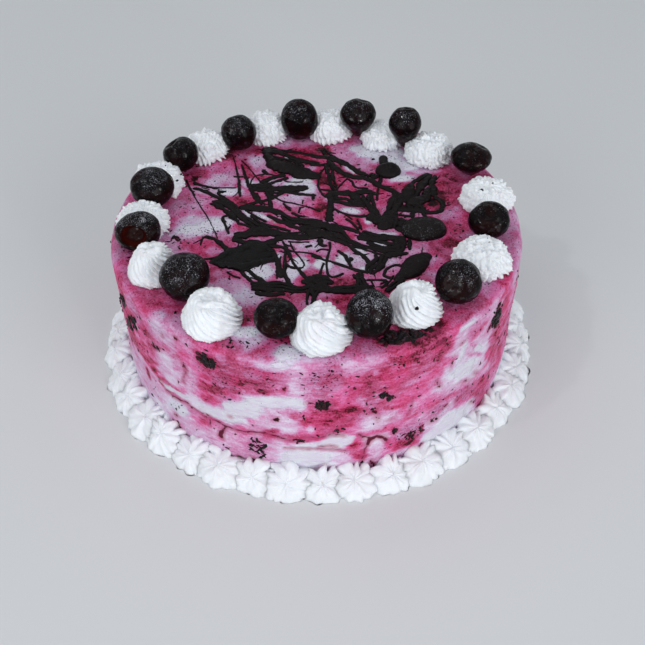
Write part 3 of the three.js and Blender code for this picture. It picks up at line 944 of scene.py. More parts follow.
@dataclass(frozen=True)
class Marbling:
    """Paints the drum: ovals of colour in painter's order over streaky noise, their edges pulled about.

    The strokes seen from the front are listed one by one; the far side is finished with seeded
    strokes of the same kinds.
    """

    seed: int = 41
    back_start: float = 8.0
    back_end: float = 172.0
    side_base: float = 0.44
    top_base: float = 0.57
    top_dust: float = 0.75
    cover: float = 0.94
    bleach: float = 0.75
    stain_depth: float = 2.6
    crease_share: float = 0.8
    raggedness: float = 0.46
    deepening: float = 0.055
    paling: float = 0.03

    def far_side(
        self, count: int, sizes: tuple[Point, Point], tones: tuple[float, ...], seed: int
    ) -> tuple[Oval, ...]:
        """Seeded ovals for the far side.

        Args:
            count: how many.
            sizes: the least and greatest half length, then the same for the half width.
            tones: the tones to draw from.
            seed: picks the draw.

        Returns:
            The ovals, in painter's order.
        """
        draw = np.random.default_rng(self.seed + seed)
        return tuple(
            Oval(
                draw.uniform(self.back_start, self.back_end),
                draw.uniform(8.0, 74.0),
                draw.uniform(*sizes[0]),
                draw.uniform(*sizes[1]),
                turn=draw.normal(0.0, 14.0),
                tone=float(draw.choice(tones)),
            )
            for _ in range(count)
        )

    def side_chart(self) -> Chart:
        """The side's own strokes with those of the far side under them."""
        return Chart(
            self.far_side(34, ((9, 17), (7, 12)), (0.2, 0.3, 0.45, 0.55, 0.65, 0.74), 1) + SIDE.fields,
            self.far_side(16, ((5, 15), (2.5, 6)), (1.0,), 2) + SIDE.whites,
            self.far_side(34, ((1, 5), (0.8, 2.6)), (0.7, 0.9, 1.0), 3) + SIDE.stains,
            self.far_side(12, ((7, 14), (6, 12)), (0.5, 0.8, 1.0), 4) + SIDE.specks,
            SIDE.creases,
        )

    def edge(self, oval: Oval, along: Array, up: Array, ragged: Array) -> Array:
        """Distance from an oval's centre, 1 at its edge, which the ragged noise moves in and out."""
        turn = math.radians(oval.turn)
        long = (along * math.cos(turn) + up * math.sin(turn)) / oval.half_length
        wide = (up * math.cos(turn) - along * math.sin(turn)) / oval.half_width
        return np.hypot(long, wide) + self.raggedness * ragged

    def lay(
        self, chart: Chart, spot: Array, base: Array, ragged: Array, scale: float, period: float
    ) -> Paint:
        """Lays a chart's strokes one after another.

        Args:
            chart: the strokes.
            spot: the points' places on the chart, with the pull of the spatula in them.
            base: the tone under all strokes.
            ragged: noise that breaks up their edges.
            scale: millimetres for one unit of the chart's first axis.
            period: after how many units that axis comes round again.

        Returns:
            The paint.
        """
        def off(across: float, along: float) -> tuple[Array, Array]:
            """Millimetres from a place on the chart, round and up."""
            turn = (spot[..., 0] - across + 0.5 * period) % period - 0.5 * period
            return scale * turn, spot[..., 1] - along

        def strokes(patches: Sequence[Oval]) -> Iterator[tuple[Oval, Array]]:
            """Each oval with the points' distances from its centre."""
            for oval in patches:
                yield oval, self.edge(oval, *off(oval.across, oval.along), ragged)

        tone, white, stain = base, np.full(base.shape, -FAR), np.full(base.shape, -FAR)
        crease, specks, gloss = white.copy(), np.zeros(base.shape), np.zeros(base.shape)
        for oval, edge in strokes(chart.fields):
            tone = tone + (oval.tone - tone) * self.cover * smoothstep(1.4, 0.55, edge)
        for oval, edge in strokes(chart.whites):
            white = np.maximum(white, (1.0 - edge) * min(oval.half_length, oval.half_width))
            tone = tone * (1.0 - self.bleach * smoothstep(1.5, 0.7, edge))
        for oval, edge in strokes(chart.stains):
            depth = (1.0 - edge) * min(oval.half_length, oval.half_width, self.stain_depth)
            stain = np.maximum(stain, np.where(depth > 0, depth * oval.tone, depth))
            gloss = np.maximum(gloss, oval.wet * smoothstep(1.3, 0.8, edge))
        for oval, edge in strokes(chart.specks):
            specks = np.maximum(specks, oval.tone * smoothstep(1.4, 0.4, edge))
        for line in chart.creases:
            for start, end in zip(line.path, line.path[1:]):
                along, up = off(*start)
                step = np.array(((end[0] - start[0]) * scale, end[1] - start[1]))
                part = np.clip((along * step[0] + up * step[1]) / (step @ step), 0.0, 1.0)
                far = np.hypot(along - part * step[0], up - part * step[1])
                crease = np.maximum(crease, self.crease_share * line.width - far)
        clipped = [np.clip(distance, -FAR, FAR) for distance in (white, stain, crease)]
        return Paint(tone, *clipped, specks, gloss)

    def side(self, points: Array) -> Paint:
        """Paints by the side's chart.

        Args:
            points: places on the wall, in millimetres.

        Returns:
            The side's paint.
        """
        scale = math.radians(1.0) * DRUM_RADIUS
        pull = 1.7 * fractal(points, (13, 13, 8), 5) + 0.6 * noise(points, 3.0, 6)
        lift = 1.1 * fractal(points, (12, 12, 7), 7) + 0.4 * noise(points, 2.6, 8)
        degrees = np.degrees(np.arctan2(points[..., 1], points[..., 0])) % 360.0
        spot = np.stack((degrees + pull / scale, points[..., 2] + lift), -1)
        base = self.side_base + 0.34 * fractal(points, (30, 30, 12), 10)
        base = base - 0.14 * smoothstep(32.0, 18.0, points[..., 2])
        return self.lay(self.side_chart(), spot, base, fractal(points, (6, 6, 3.6), 9), scale, 360.0)

    def top(self, points: Array) -> Paint:
        """Paints by the top's chart.

        Args:
            points: places on the top, in millimetres.

        Returns:
            The top's paint.
        """
        pull = 1.2 * fractal(points, 11, 15) + 0.5 * noise(points, 3.0, 16)
        lift = 1.0 * fractal(points, 10, 17) + 0.4 * noise(points, 2.6, 18)
        spot = points[..., :2] + np.stack((pull, lift), -1)
        base = self.top_base + 0.26 * fractal(points, (24, 16, 16), 20)
        paint = self.lay(TOP, spot, base, fractal(points, 5, 19), 1.0, 1000.0)
        # the whole top is peppered at least this much, which makes it darker and greyer all over
        return Paint(**{**vars(paint), "specks": np.maximum(paint.specks, self.top_dust)})

    def paint(self, points: Array, flatness: Array) -> Paint:
        """Paints any points of the drum, passing from the side's chart to the top's over the rim.

        Args:
            points: places on the drum.
            flatness: 0 on the wall, 1 on the top.

        Returns:
            The paint, its tone stirred by swirls from a few millimetres to a few centimetres wide.
        """
        paint = self.side(points).blend(self.top(points), flatness)
        bent = points + 2.2 * np.stack([noise(points, 5.0, seed) for seed in (24, 25, 26)], -1)
        swirl = 0.11 * fractal(bent, (10, 10, 5), 12) + 0.06 * noise(bent, (3.6, 3.6, 2.2), 22)
        deeper = self.deepening * smoothstep(0.4, 0.62, paint.tone)
        paler = self.paling * smoothstep(0.5, 0.2, paint.tone)
        stirred = paint.tone + (deeper - paler) + swirl * (0.45 + paint.tone)
        return Paint(**{**vars(paint), "tone": stirred, "white": paint.white + 3.0 * swirl})


# The cake's own pieces

@dataclass(frozen=True)
class CakeDrum:
    """The drum of ice cream: a wall that leans out a little, a rounded rim and a flat top."""

    columns: int = 640
    wall_rows: int = 72
    rim_rows: int = 6
    top_step: float = 1.1
    smear_depth: float = 0.8
    smear_start: float = 16.0
    smear_full: float = 30.0
    relief: float = 0.28
    marbling: Marbling = Marbling()

    def outline(self) -> tuple[Array, tuple[int, ...]]:
        """The half section as rings: up the wall, round the rim and in over the top.

        Returns:
            Radius, height and lean (0 on the wall, 90 degrees on the top) of each ring, and how many
            points each has: halved each time the top's rings have shrunk by half.
        """
        wall_top = DRUM_HEIGHT - RIM_ROUNDING
        heights = np.linspace(0.0, wall_top, self.wall_rows)
        radii = wall_radius(heights)
        turns = np.linspace(0.0, math.pi / 2, self.rim_rows + 1)[1:]
        shoulder = radii[-1] - RIM_ROUNDING
        rows = [np.stack((radii, heights, 0 * heights), -1)]
        rim = (shoulder + RIM_ROUNDING * np.cos(turns), wall_top + RIM_ROUNDING * np.sin(turns), turns)
        rows.append(np.stack(rim, -1))
        counts = [self.columns] * (self.wall_rows + self.rim_rows)
        start, count = shoulder, self.columns
        for end in (shoulder / 2, shoulder / 4, shoulder / 8, self.top_step):
            steps = max(2, round((start - end) / self.top_step))
            inner = np.linspace(start, end, steps + 1)[1:]
            rows.append(np.stack((inner, 0 * inner + DRUM_HEIGHT, 0 * inner + math.pi / 2), -1))
            counts += [count] * (steps - 1) + [count // 2]
            start, count = end, count // 2
        counts[-1] = counts[-2]
        return np.concatenate(rows), tuple(counts)

    def smeared(self, points: Array) -> Array:
        """How far the spatula has pressed the wall in: two crossed waves that fade out at the foot."""
        angle = np.arctan2(points[..., 1], points[..., 0])
        height = points[..., 2]
        wave = np.sin(5 * angle + height / 9) * np.sin(3 * angle - height / 14)
        fade = smoothstep(self.smear_start, self.smear_full, height)
        return self.smear_depth * fade * (0.5 + 0.5 * wave)

    def settle(self, points: Array, lean: Array) -> tuple[Array, Paint]:
        """Paints points of the plain drum and moves them along its outward direction.

        The move is fine noise, less the spatula's press on the wall; white patches stand out a
        little, stains and creases lie in.

        Args:
            points: places on the plain drum.
            lean: how far the outward direction leans up at each, in radians.

        Returns:
            The settled points and their paint.
        """
        flatness = smoothstep(0.25, 1.35, lean)
        paint = self.marbling.paint(points, flatness)
        fine = fractal(points, (6, 6, 3), 31) + 0.4 * noise(points, 1.5, 34)
        move = self.relief * fine - self.smeared(points) * np.cos(lean)
        move = move + 0.25 * smoothstep(-0.5, 1.0, paint.white)
        move = move - 0.15 * smoothstep(0.0, 1.5, paint.stain)
        move = move - 0.45 * smoothstep(-0.6, 0.4, paint.crease)
        reach = np.hypot(points[..., 0], points[..., 1])
        away = points[..., :2] / np.maximum(reach, 1e-6)[..., None] * np.cos(lean)[..., None]
        outward = np.concatenate((away, np.sin(lean)[..., None]), -1)
        return points + outward * (move * smoothstep(0.0, 3.0, points[..., 2]))[..., None], paint

    def wall(self, degrees: Array, heights: Array) -> Array:
        """Points of the plain wall at these angles and heights."""
        return around(wall_radius(heights), np.radians(degrees), heights)

    def build(self) -> Piece:
        """Builds the mesh.

        Returns:
            The drum with its painted layers.
        """
        rings, counts = self.outline()
        spread = np.repeat(rings, counts, axis=0)
        turns = np.concatenate([full_turn(count) for count in counts])
        settled, paint = self.settle(around(spread[:, 0], turns, spread[:, 1]), spread[:, 2])
        foot, crown = np.zeros((1, 3)), np.array([[0.0, 0.0, settled[-1, 2]]])
        skin = Skin(np.concatenate((foot, settled, crown))[None], counts)
        layers = {}
        for name, values in vars(paint).items():
            layers[name] = np.concatenate((values[:1], values, values[-1:]))
        return skin.piece("cake_drum", layers)

    def dress(self, piece: Piece) -> None:
        """Gives the drum its finish and hands it over."""
        hand_over(piece, IceCreamFinish().material(), "ice_cream", "cake_body")


@dataclass(frozen=True)
class Strand:
    """One stroke of chocolate: the knots it runs through, each x, y and its full width there.

    frost and gloss are painted on it, rough scales the raggedness of its edges and thick its height.
    """

    knots: tuple[Knot, ...]
    frost: float = 0.12
    gloss: float = 0.0
    rough: float = 1.0
    thick: float = 1.0


def run(*knots: Sequence[float], **looks: float) -> Strand:
    """A strand through knots of x, y and full width; a knot without a width keeps the last one.

    Args:
        knots: the points it runs through, the first with its width.
        looks: its frost, gloss, rough and thick, where they aren't the usual ones.

    Returns:
        The strand.
    """
    full: list[Knot] = []
    for x, y, *width in knots:
        full.append((x, y, width[0] if width else full[-1][2]))
    return Strand(tuple(full), **looks)


DRIZZLE = (
    # the upper left masses and the strands that leave them
    run((-24.9, 61.7, 5.7), (-24.6, 55.3, 5.4), (-21.7, 48.9, 6.5), rough=0.9),
    run((-21.7, 48.9, 7.9), (-14.6, 45.3, 9.3), (-6.7, 41), (-0.3, 38.1, 6.4), rough=0.9),
    run((-27.4, 62.8, 4), (-23.1, 62.8, 5), (-19.6, 61.7, 4)),
    run((-24, 56, 5), (-19, 53), (-13, 50), (-8, 46)),
    run((-19.6, 61.7, 4), (-16.7, 58.9, 2.8), (-11.7, 55.3, 3), (-6.7, 52.4, 4), (1.1, 50.6, 2.5)),
    run((-20.3, 63.1, 2), (-11.7, 61.7, 1.8), (-3.9, 58.5), (1.9, 55.3, 2.5)),
    run((-9.6, 48.9, 2), (-7.4, 45.3)), run((-16, 38.9, 5.5), (-23.1, 35.3, 5), (-27.4, 33.1, 4.5)),
    run((-32.4, 29.6, 4.5), (-27.1, 28.1, 7.5), (-22.4, 26.7, 5)),
    run((-23.1, 26.4, 3.5), (-14.6, 26.9, 3.8), (-5.6, 26.9, 4)), run((-5.6, 28.1, 0.9), (-4.2, 29)),
    run((-16.7, 35.3, 0.9), (-14.6, 33.5), (-11.7, 32.8), (-6.7, 33)),
    run((-23.1, 23.1, 1.7), (-16, 23.9), (-10.3, 22.8), (-5.3, 21.7), (-0.6, 20.9)),
    run((-1.4, 21.7, 1.6), (-1.4, 18.5)),
    run((-16.7, 23.1, 1.2), (-20.3, 20.3, 1.6), (-24.6, 17.4, 1.8), (-28.9, 16), (-34.6, 13.1, 2.5)),
    run((-20.3, 19.6, 0.8), (-16, 16), (-11.7, 14.6), (-6.7, 12.4), (-2.4, 10.3), (1.9, 7.4)),
    run((-38.5, 49.9, 1), (-37.4, 45.3, 1.3), (-36, 38.9, 1.5), (-34.6, 32.4, 1.6), (-33.1, 27.4, 2)),
    run((-33.1, 27.4, 2), (-30.3, 20.3, 2.2), (-28.9, 16)),
    run((-43.9, 59.6, 0.7), (-42.1, 52.4, 0.8), (-41, 46, 1), (-39.9, 39.6, 1.2), (-39.2, 34.6, 1.4)),
    run((-39.2, 34.6, 1.4), (-38.5, 27.4, 1.8), (-38.1, 21.7, 1.4)),
    run((-38.5, 53.9, 0.7), (-35.3, 48.1), (-32.4, 42.4), (-30.3, 38.1, 0.8), (-28.1, 33.1, 1.2)),
    run((-31, 39.6, 0.8), (-32.8, 35.3), (-33.1, 31)), run((-41.7, 38.9, 1.1), (-37.4, 38.5)),
    run((-26.7, 43.9, 2), (-24.9, 41)), run((-30.3, 39.6, 0.9), (-25.3, 41)),
    run((-24.9, 41, 0.7), (-20.3, 39.2)),
    run((-61.7, 33.5, 2), (-57.4, 31.4, 1.4), (-53.1, 29.7, 1), (-48.1, 29.1, 0.9), (-40.6, 28.9)),
    run((-61.7, 28.9, 1.6), (-58.1, 27.4, 1.8), (-49.6, 21, 2.2), (-45.3, 17.4, 2.6), (-41.7, 13.9, 3)),
    run((-45.6, 25.8, 1), (-49.2, 25.1, 1.4), (-47.8, 22.4), (-45.3, 19.6, 1.6), (-41.4, 14.6, 1.8)),
    run((-66, 36, 1.1), (-64.6, 31), (-63.1, 27.4), (-61, 23.1)),
    run((-63.9, 28.9, 0.6), (-60.3, 20.3), (-56.7, 11.7), (-53.1, 4), (-48.5, -8.9), (-47.3, -12.8)),
    run((-51.7, 16.7, 3), (-46.7, 14.6, 5.5), (-42.4, 11, 6), (-38.9, 5.3, 6.5), (-35.3, 0.3)),
    run((-36, 11.7, 4.3), (-28.9, 10.3, 4), (-23.1, 8.9, 3.4), (-17.4, 6, 3), (-11.7, 1)),
    run((-34.6, 8.9, 1.2), (-28.9, 3.1), (-24.6, -0.4)),
    run((-29.6, 23.1, 1.8), (-28.1, 16.7), (-27.1, 14.6)),
    run((-24.6, 25.3, 2.1), (-23.1, 16.7), (-22.4, 10.3)), run((-21.7, 26, 1.8), (-23.1, 19.6)),
    run((-16, 13.9, 1.6), (-12.8, 8.9)), run((-6.4, 16.7, 0.8), (-6.7, 14.2)),
    run((-7.8, 10.6, 0.9), (-8.5, 6.7)), run((-11.4, 6, 1.8), (-8.9, 3.9, 1.6), (-6, 2.8, 1)),
    run((-8.9, 3.1, 0.9), (-6.7, 0.3)),
    # the strands of the upper right and its large clubs
    run((-2, 58.1, 2), (2.3, 56, 2.5), (5.9, 55.3, 3)),
    run((4.4, 63.1, 2.4), (6.6, 57.4, 3.6), (8.7, 53.9, 4.4)),
    run((8.7, 53.9, 4), (13, 51, 3.6), (17.3, 47.1, 3.4), (21.6, 42.1, 3.2), (25.9, 38.5)),
    run((7.3, 50.3, 4), (10.9, 44.6, 3.8), (14.4, 40.3, 3.6), (19.4, 36.7), (24.4, 36, 3.4)),
    run((24.4, 36, 2.8), (28.7, 33.1), (32.3, 28.9), (36.6, 25.3, 3), (40.9, 20.3, 3.6)),
    run((-2, 49.2, 2), (1.6, 48.5), (5.9, 48.9)),
    run((4.4, 44.6, 1.1), (2.3, 40.3), (1.4, 34.6), (1.6, 28.1), (3.4, 21.7), (5.1, 19.6)),
    run((6.2, 48.9, 5), (6.9, 42.4, 4.6), (8, 36, 3.8), (8.7, 30.3, 3), (9.4, 24.6, 2.5),
        (8.7, 20.3, 2.2)),
    run((4.4, 31.7, 0.9), (8.7, 28.9)), run((3, 26, 1), (7.3, 24.6), (8.7, 21.7)),
    run((16.2, 35.3, 1), (13, 30.3), (10.5, 25.3)),
    run((17.3, 34.6, 1.3), (18.7, 32.4), (19.4, 28.9), (21.6, 26.7), (25.9, 26.4)),
    run((37.1, 41.2, 12.2), (38.1, 41.6), frost=0.25, rough=0.4),
    run((35.9, 53.9, 4.2), (35.9, 48, 4.8), rough=0.4), run((30.2, 53, 1.2), (30.8, 53)),
    run((30.9, 37.4, 4.5), (28.7, 35.3)), run((33.4, 35.3, 2.1), (33, 31.7), (32.3, 28.9)),
    run((31.6, 26, 1), (30.9, 20.3), (30.5, 16)),
    run((59.8, 37.4, 5), (57.3, 32.4, 9), (53.7, 26, 11.5), (49.4, 19.6, 13), (45.1, 14.6, 12),
        frost=0.2),
    run((59.4, 26, 4), (58.7, 20.3)), run((48, 11.7, 8), (50.9, 6.7, 6)),
    run((60.1, 16.7, 3), (62.6, 11.7, 2.5), (61.2, 6, 2.8), (56.6, 4.6, 2.5), (50.9, 6, 3),
        (40.9, 7.8, 2.6)),
    run((40.9, 20.3, 6.5), (38.7, 11.7, 6.8), (36.6, 4.6, 7), (35.1, 0.3, 8)),
    run((25.9, 19.6, 4.5), (27.3, 13.1, 6.4), (28, 6.7), (28.7, 1, 5), frost=0.25),
    run((5.9, 21, 2.6), (12.3, 22.4, 3.6), (18.7, 22.1, 4), (24.4, 22.8), (29.4, 21.4, 3)),
    run((8.7, 16.7, 3.6), (14.4, 14.6, 4.4), (19.4, 13.1, 4.8), (24.4, 12.4)),
    run((18.7, 20.3, 4.3), (20.9, 16)), run((7.3, 21.7, 3.6), (7.3, 14.6), (6.9, 7.4), (6.6, 0.3)),
    run((9.4, 8.9, 1.2), (12.3, 6), (16.6, 3.5, 1.3), (21.6, 2.4, 1.5), (28, 2.8, 1.8)),
    run((14.4, 3.9, 0.9), (17.3, 0.3)), run((47.3, 4.6, 1.8), (46.9, 1.5)),
    run((52.3, 4.6, 2), (53.4, 0.3)), run((40.9, 2.8, 1.6), (46.6, 1.7)),
    # the left pool and the crossing strands of the front
    run((-41.7, 5.3, 1.2), (-44.9, 4.2, 1.4), (-45.6, 2.4, 1.6), (-44.6, -0.3, 1.5), (-42.1, -9.6, 1)),
    run((-35.3, -0.3, 6.5), (-30.3, -4.6, 6), (-26, -8.1)),
    run((-38.9, -12.8, 6), (-31.7, -13.1, 11), (-23.9, -12.4, 12), (-16, -12.1, 6.4), (-6.7, -12.1, 5),
        (1.9, -11.7)),
    run((-31.7, 4, 1.8), (-27.4, -1), (-23.1, -3.9), (-17.4, -6), (-13.1, -8.1)),
    run((-23.1, 4, 2.1), (-18.9, 0.4), (-14.6, -2.4), (-9.6, -6), (-3.1, -9.6)),
    run((-16.7, 4, 3), (-12.4, 0.4, 4), (-6.7, -1.7, 4.5), (1.9, -3.1, 5)),
    run((-6.7, -4.6, 6), (1.9, -6)),
    run((-44, -30, 6), (-37, -28.5, 11.5), (-30, -27.5, 12), (-24, -26.5, 8),
        frost=0.0, gloss=1.0, rough=0.9, thick=0.4),
    run((-49, -31.5, 2), (-43, -26.5, 4), (-36, -22.5, 5.5), (-28, -20.5, 5), (-21, -24, 3),
        frost=0.0, gloss=1.0, rough=0.95),
    run((-47, -32.5, 3), (-40, -34.5, 5), (-33, -35), (-27, -32.5, 4.5), (-20, -30, 3),
        frost=0.0, gloss=1.0, rough=0.95),
    run((-30.3, -18.9, 9), (-26, -21.7), frost=0.0, gloss=0.9, rough=0.6, thick=0.7),
    run((-54.9, -18.1, 0.9), (-54.6, -13.9, 1.2), (-52.8, -11.7, 1.4), (-49.6, -13.1, 2),
        (-46, -16.7, 2.6)),
    run((-46, -16.7, 2.6), (-43.1, -21, 2.8), (-41.7, -24.6, 3)),
    run((-52.1, -28.9, 1.4), (-48.1, -28.5), (-44.6, -26.7)),
    run((-41, -38.9, 1), (-38.1, -41.7), (-35.3, -43.1)),
    run((-35.3, -38.1, 1.6), (-32.4, -42.4), (-30.3, -45.3), (-27.4, -48.1)),
    run((-31.7, -38.1, 2.1), (-28.1, -42.4), (-23.9, -46.7), (-20.3, -48.1)),
    run((-30.3, -43.1, 0.7), (-26, -45.3)),
    run((-20.3, -26, 2.5), (-18.5, -31.7, 2.4), (-17.4, -36.7, 2.6), (-16.7, -41.7, 3.6)),
    run((-14.9, -20.3, 1.4), (-14.9, -26.7), (-14.9, -35.3), (-14.6, -41.7, 1.8), (-12.1, -48.9, 2.5)),
    run((-23.1, -19.6, 2.5), (-16.7, -21, 2), (-13.9, -23.1, 1.6), (-9.6, -24.9, 1.2), (-3.1, -26, 1.3),
        (1.9, -29.6, 1.4)),
    run((-16, -16.7, 1), (-14.6, -20.3, 1.2), (-12.8, -26.7, 1.5), (-10.3, -34.6, 1.4),
        (-4.6, -44.6, 1.6), (-2.4, -48.9, 2)),
    run((-12.4, -18.1, 0.8), (-10.6, -23.9), (-8.1, -28.9), (-6, -33.9), (-6.7, -36.7)),
    run((-6.7, -36.7, 1.1), (-9.6, -37.1, 1.5), (-13.1, -35.3), (-14.6, -33.1, 1)),
    run((-13.1, -16.7, 1), (-8.9, -17.4), (-3.9, -17.4)), run((-4.9, -21, 1.4), (-2.8, -20.3)),
    run((-28.9, -50.3, 5.5), (-23.1, -49.6), (-16, -50.3, 5), (-8.9, -51.7, 4.5), (-1.7, -51, 5)),
    run((-4.6, -44.6, 5), (-1.7, -47.4, 6), (1.9, -50.3)),
    run((-1.7, -52, 6), (-2.5, -57, 5.5), (-3, -62, 4)),
    run((-27, -53, 4), (-21, -55, 5), (-15, -54.5, 3)),
    # the lower right masses, clubs and curl
    run((-2, -8.1, 12), (4.4, -9.6, 11.5), (10.1, -13.1, 7.1), (15.1, -18.1, 4.3), (21.6, -22.4, 3.4),
        (31.6, -26.7, 4.3)),
    run((8, -3.9, 2.1), (12.3, -6), (16.6, -8.1), (20.1, -10.3)),
    run((14.8, 0.4, 1.3), (18, -3.9), (20.1, -8.1)), run((20.1, -0.3, 1.1), (20.9, -3.9), (21.6, -8.1)),
    run((33.7, 2.6, 12), (34.4, -2.5, 13), (35, -6.2, 9.5)),
    run((21.6, -12.6, 6.2), (28, -15.8), (35.1, -17.6, 7), (40.9, -18.1, 8), frost=0.2),
    run((32.3, -26, 6.4), (38, -26, 7), (40.9, -24.6, 5.5)), run((40.9, -18.1, 7), (41.5, -24)),
    run((24.4, -18.9, 2), (30, -22.4), (36.6, -23.1)),
    run((48.6, -9.7, 16.4), (54.4, -9.4), frost=0.6, rough=0.35), run((40, -6, 9), (46, -8)),
    run((50.1, -30.5, 6.4), (47.3, -33.9, 10.4), (43.7, -38.9), (40.9, -42.4, 8), (37, -46, 5),
        frost=0.3, rough=0.5),
    run((36.6, -46, 5), (33.7, -49.6, 4.3), (30.1, -53.1, 4)),
    run((40.1, -39.6, 1.4), (38.7, -36.7), (35.9, -36), (32.3, -38.1), (30.5, -41.7), (30.9, -43.9),
        (33.7, -45.3)),
    run((22.6, -46.4, 1.3), (26.6, -46.4), (30.9, -46.7)), run((24.4, -47.4, 1), (25.5, -51)),
    run((28.7, -49, 1), (31.6, -47.4)), run((18, -42.4, 4), (19.4, -46, 5.2), (20.1, -50.3, 5.8)),
    run((-2, -50.3, 6), (5.1, -52.4, 5), (12.3, -53.1, 4.5), (19.4, -53.1), (25.1, -52.4, 4)),
    run((-2, -44.6, 4.5), (2.3, -46), (6.6, -48.1, 3)),
    run((24.4, -41.7, 3), (25.1, -38.9, 5), (26.6, -36, 7), (28.7, -32.4, 6.4), (30.1, -30.3, 6)),
    run((6.2, -18.1, 1.2), (5.9, -24.6), (4.8, -30.3), (4.4, -36), (5.1, -41.7), (7.3, -43.9),
        (11.6, -41.4)),
    run((3, -33.9, 1.1), (1.9, -38.1), (0.9, -43.1)),
    run((-2, -28.1, 1.5), (3.7, -31.7), (9.4, -34.2), (14.4, -37.1), (19.4, -39.6), (24.4, -41)),
    run((10.1, -24.6, 1.4), (12.3, -27.4, 1.6), (14.4, -32.4, 2), (15.5, -36, 1.6)),
    run((15.4, -30.4, 1.9), (15.6, -31.6)),
    run((12.3, -16.7, 2), (16.6, -23.1, 1.6), (21.6, -28.9, 2), (24.1, -33.9)),
    run((1.6, -16, 2.5), (2.3, -20.3, 2.2), (4.4, -20.6, 1.5)),
    run((0.1, -24.6, 1), (2.3, -23.1), (5.1, -23.5)),
)


@dataclass(frozen=True)
class Drizzle:
    """The chocolate on the top: flat-bottomed strands with ragged edges, round at both ends."""

    steps: int = 50
    cap_steps: int = 7
    top_sides: int = 8
    under_sides: int = 2
    sink: float = 0.5
    thin_height: float = 0.34
    height_for_width: float = 0.23
    ragged: float = 0.32
    fullness: float = 1.06
    threads_per_length: float = 0.10
    thread_source: float = 1.6
    split_width: float = 4.4
    split_sides: tuple[float, ...] = (-0.38, 0.0, 0.38)
    path_samples: int = 160
    seed: int = 29

    def centre_line(self, strand: Strand) -> tuple[Array, Array]:
        """The strand's middle: its path, run on a little at both ends, with close steps there.

        Args:
            strand: its knots.

        Returns:
            The middle's points, and half its width at each: rounded off by a quarter circle at each end.
        """
        line = through(strand.knots, np.linspace(0.0, 1.0, self.path_samples))
        gone = np.append(0.0, np.cumsum(np.linalg.norm(np.diff(line[:, :2], axis=0), axis=1)))
        ends = 0.5 * line[[0, -1], 2]
        over = ends if gone[-1] < 2 * ends[0] else 1.1 * ends
        back = unit(np.stack((line[0, :2] - line[1, :2], line[-1, :2] - line[-2, :2])))
        tips = np.concatenate((line[[0, -1], :2] + over[:, None] * back, 2 * ends[:, None]), -1)
        line = np.concatenate((tips[:1], line, tips[1:]))
        gone = np.concatenate(([0.0], gone + over[0], [gone[-1] + over.sum()]))
        turn = np.linspace(0.0, math.pi / 2, self.cap_steps + 1)[1:]
        first, last = np.minimum(1.5 * ends, 0.42 * gone[-1])[:, None] * (1.0 - np.cos(turn))
        middle = np.linspace(first[-1], gone[-1] - last[-1], self.steps - 2 * self.cap_steps + 2)[1:-1]
        where = np.concatenate((first, middle, gone[-1] - last[::-1]))
        share = np.concatenate((np.sin(turn), np.ones(len(middle)), np.sin(turn)[::-1]))
        x, y, width = (np.interp(where, gone, line[:, axis]) for axis in range(3))
        return np.stack((x, y), -1), 0.5 * self.fullness * np.maximum(width, 0.3) * share

    def strand(self, strand: Strand, number: int) -> Array:
        """One strand: a half oval carried along its path, each edge moved in and out by its own noise.

        Args:
            strand: its knots and looks.
            number: its place in the list, which picks its noise.

        Returns:
            Rings as (steps, sides, 3).
        """
        line, half = self.centre_line(strand)
        ahead = unit(np.gradient(line, axis=0))
        left = np.stack((-ahead[:, 1], ahead[:, 0]), -1)
        over = np.arange(self.top_sides) / self.top_sides
        under = np.arange(self.under_sides) / self.under_sides
        turns = math.pi * np.concatenate((over, 1.0 + under))
        across, up = np.cos(turns), np.sin(turns)
        spot = np.concatenate((line, np.full((len(line), 1), 9.0 * number)), -1)
        swing = self.ragged * strand.rough * np.minimum(half, 2.4)
        edges = []
        for seed in (51, 53):
            broad = half * (1.0 + 0.3 * strand.rough * noise(spot, 6.5, seed + 5))
            edges.append(broad + swing * (noise(spot, 3.2, seed) + noise(spot, 1.3, seed + 1)))
        reach = np.where(across > 0, edges[0][:, None], edges[1][:, None]) * across
        flat = line[:, None] + left[:, None] * reach[..., None]
        thin = self.thin_height * np.minimum(half / half.max() * 1.6, 1.0)
        height = (thin + 2 * self.height_for_width * half) * strand.thick
        lift = np.where(up > 0, height[:, None] * np.abs(up) ** 0.7, self.sink * up)
        skin = np.concatenate((flat, (DRUM_HEIGHT + lift)[..., None]), -1)
        dents = 0.3 * strand.rough * noise(skin, 1.7, 55) * height[:, None] * up
        skin[..., 2] += np.where(up > 0, dents, 0.0)
        return skin

    def threads(self) -> tuple[Strand, ...]:
        """Seeded threads: each leaves a strand at a slant, bends a little and thins out.

        Returns:
            The threads, more of them on the longer strands and none on the thin ones.
        """
        draw = np.random.default_rng(self.seed)
        found = []
        for strand in DRIZZLE:
            rows = np.asarray(strand.knots)
            if rows[:, 2].max() < self.thread_source:
                continue
            length = np.linalg.norm(np.diff(rows[:, :2], axis=0), axis=1).sum()
            for place in draw.uniform(0.02, 0.98, round(length * self.threads_per_length)):
                here, there = through(rows, np.array((place - 0.02, place + 0.02)))
                heading = math.atan2(there[1] - here[1], there[0] - here[0])
                aside = draw.choice((-1.0, 1.0)) * draw.uniform(0.25, 0.7)
                slant = heading + aside + draw.choice((0.0, math.pi))
                reach = 0.5 * here[2] + draw.uniform(2.0, 6.0)
                bend = slant + draw.normal(0.0, 0.35)
                width = draw.uniform(0.5, 0.9)
                middle = here[:2] + 0.55 * reach * np.array((math.cos(slant), math.sin(slant)))
                tip = middle + 0.45 * reach * np.array((math.cos(bend), math.sin(bend)))
                found.append(run((*here[:2], 1.4 * width), (*middle, width), (*tip, 0.6 * width)))
        return tuple(found)

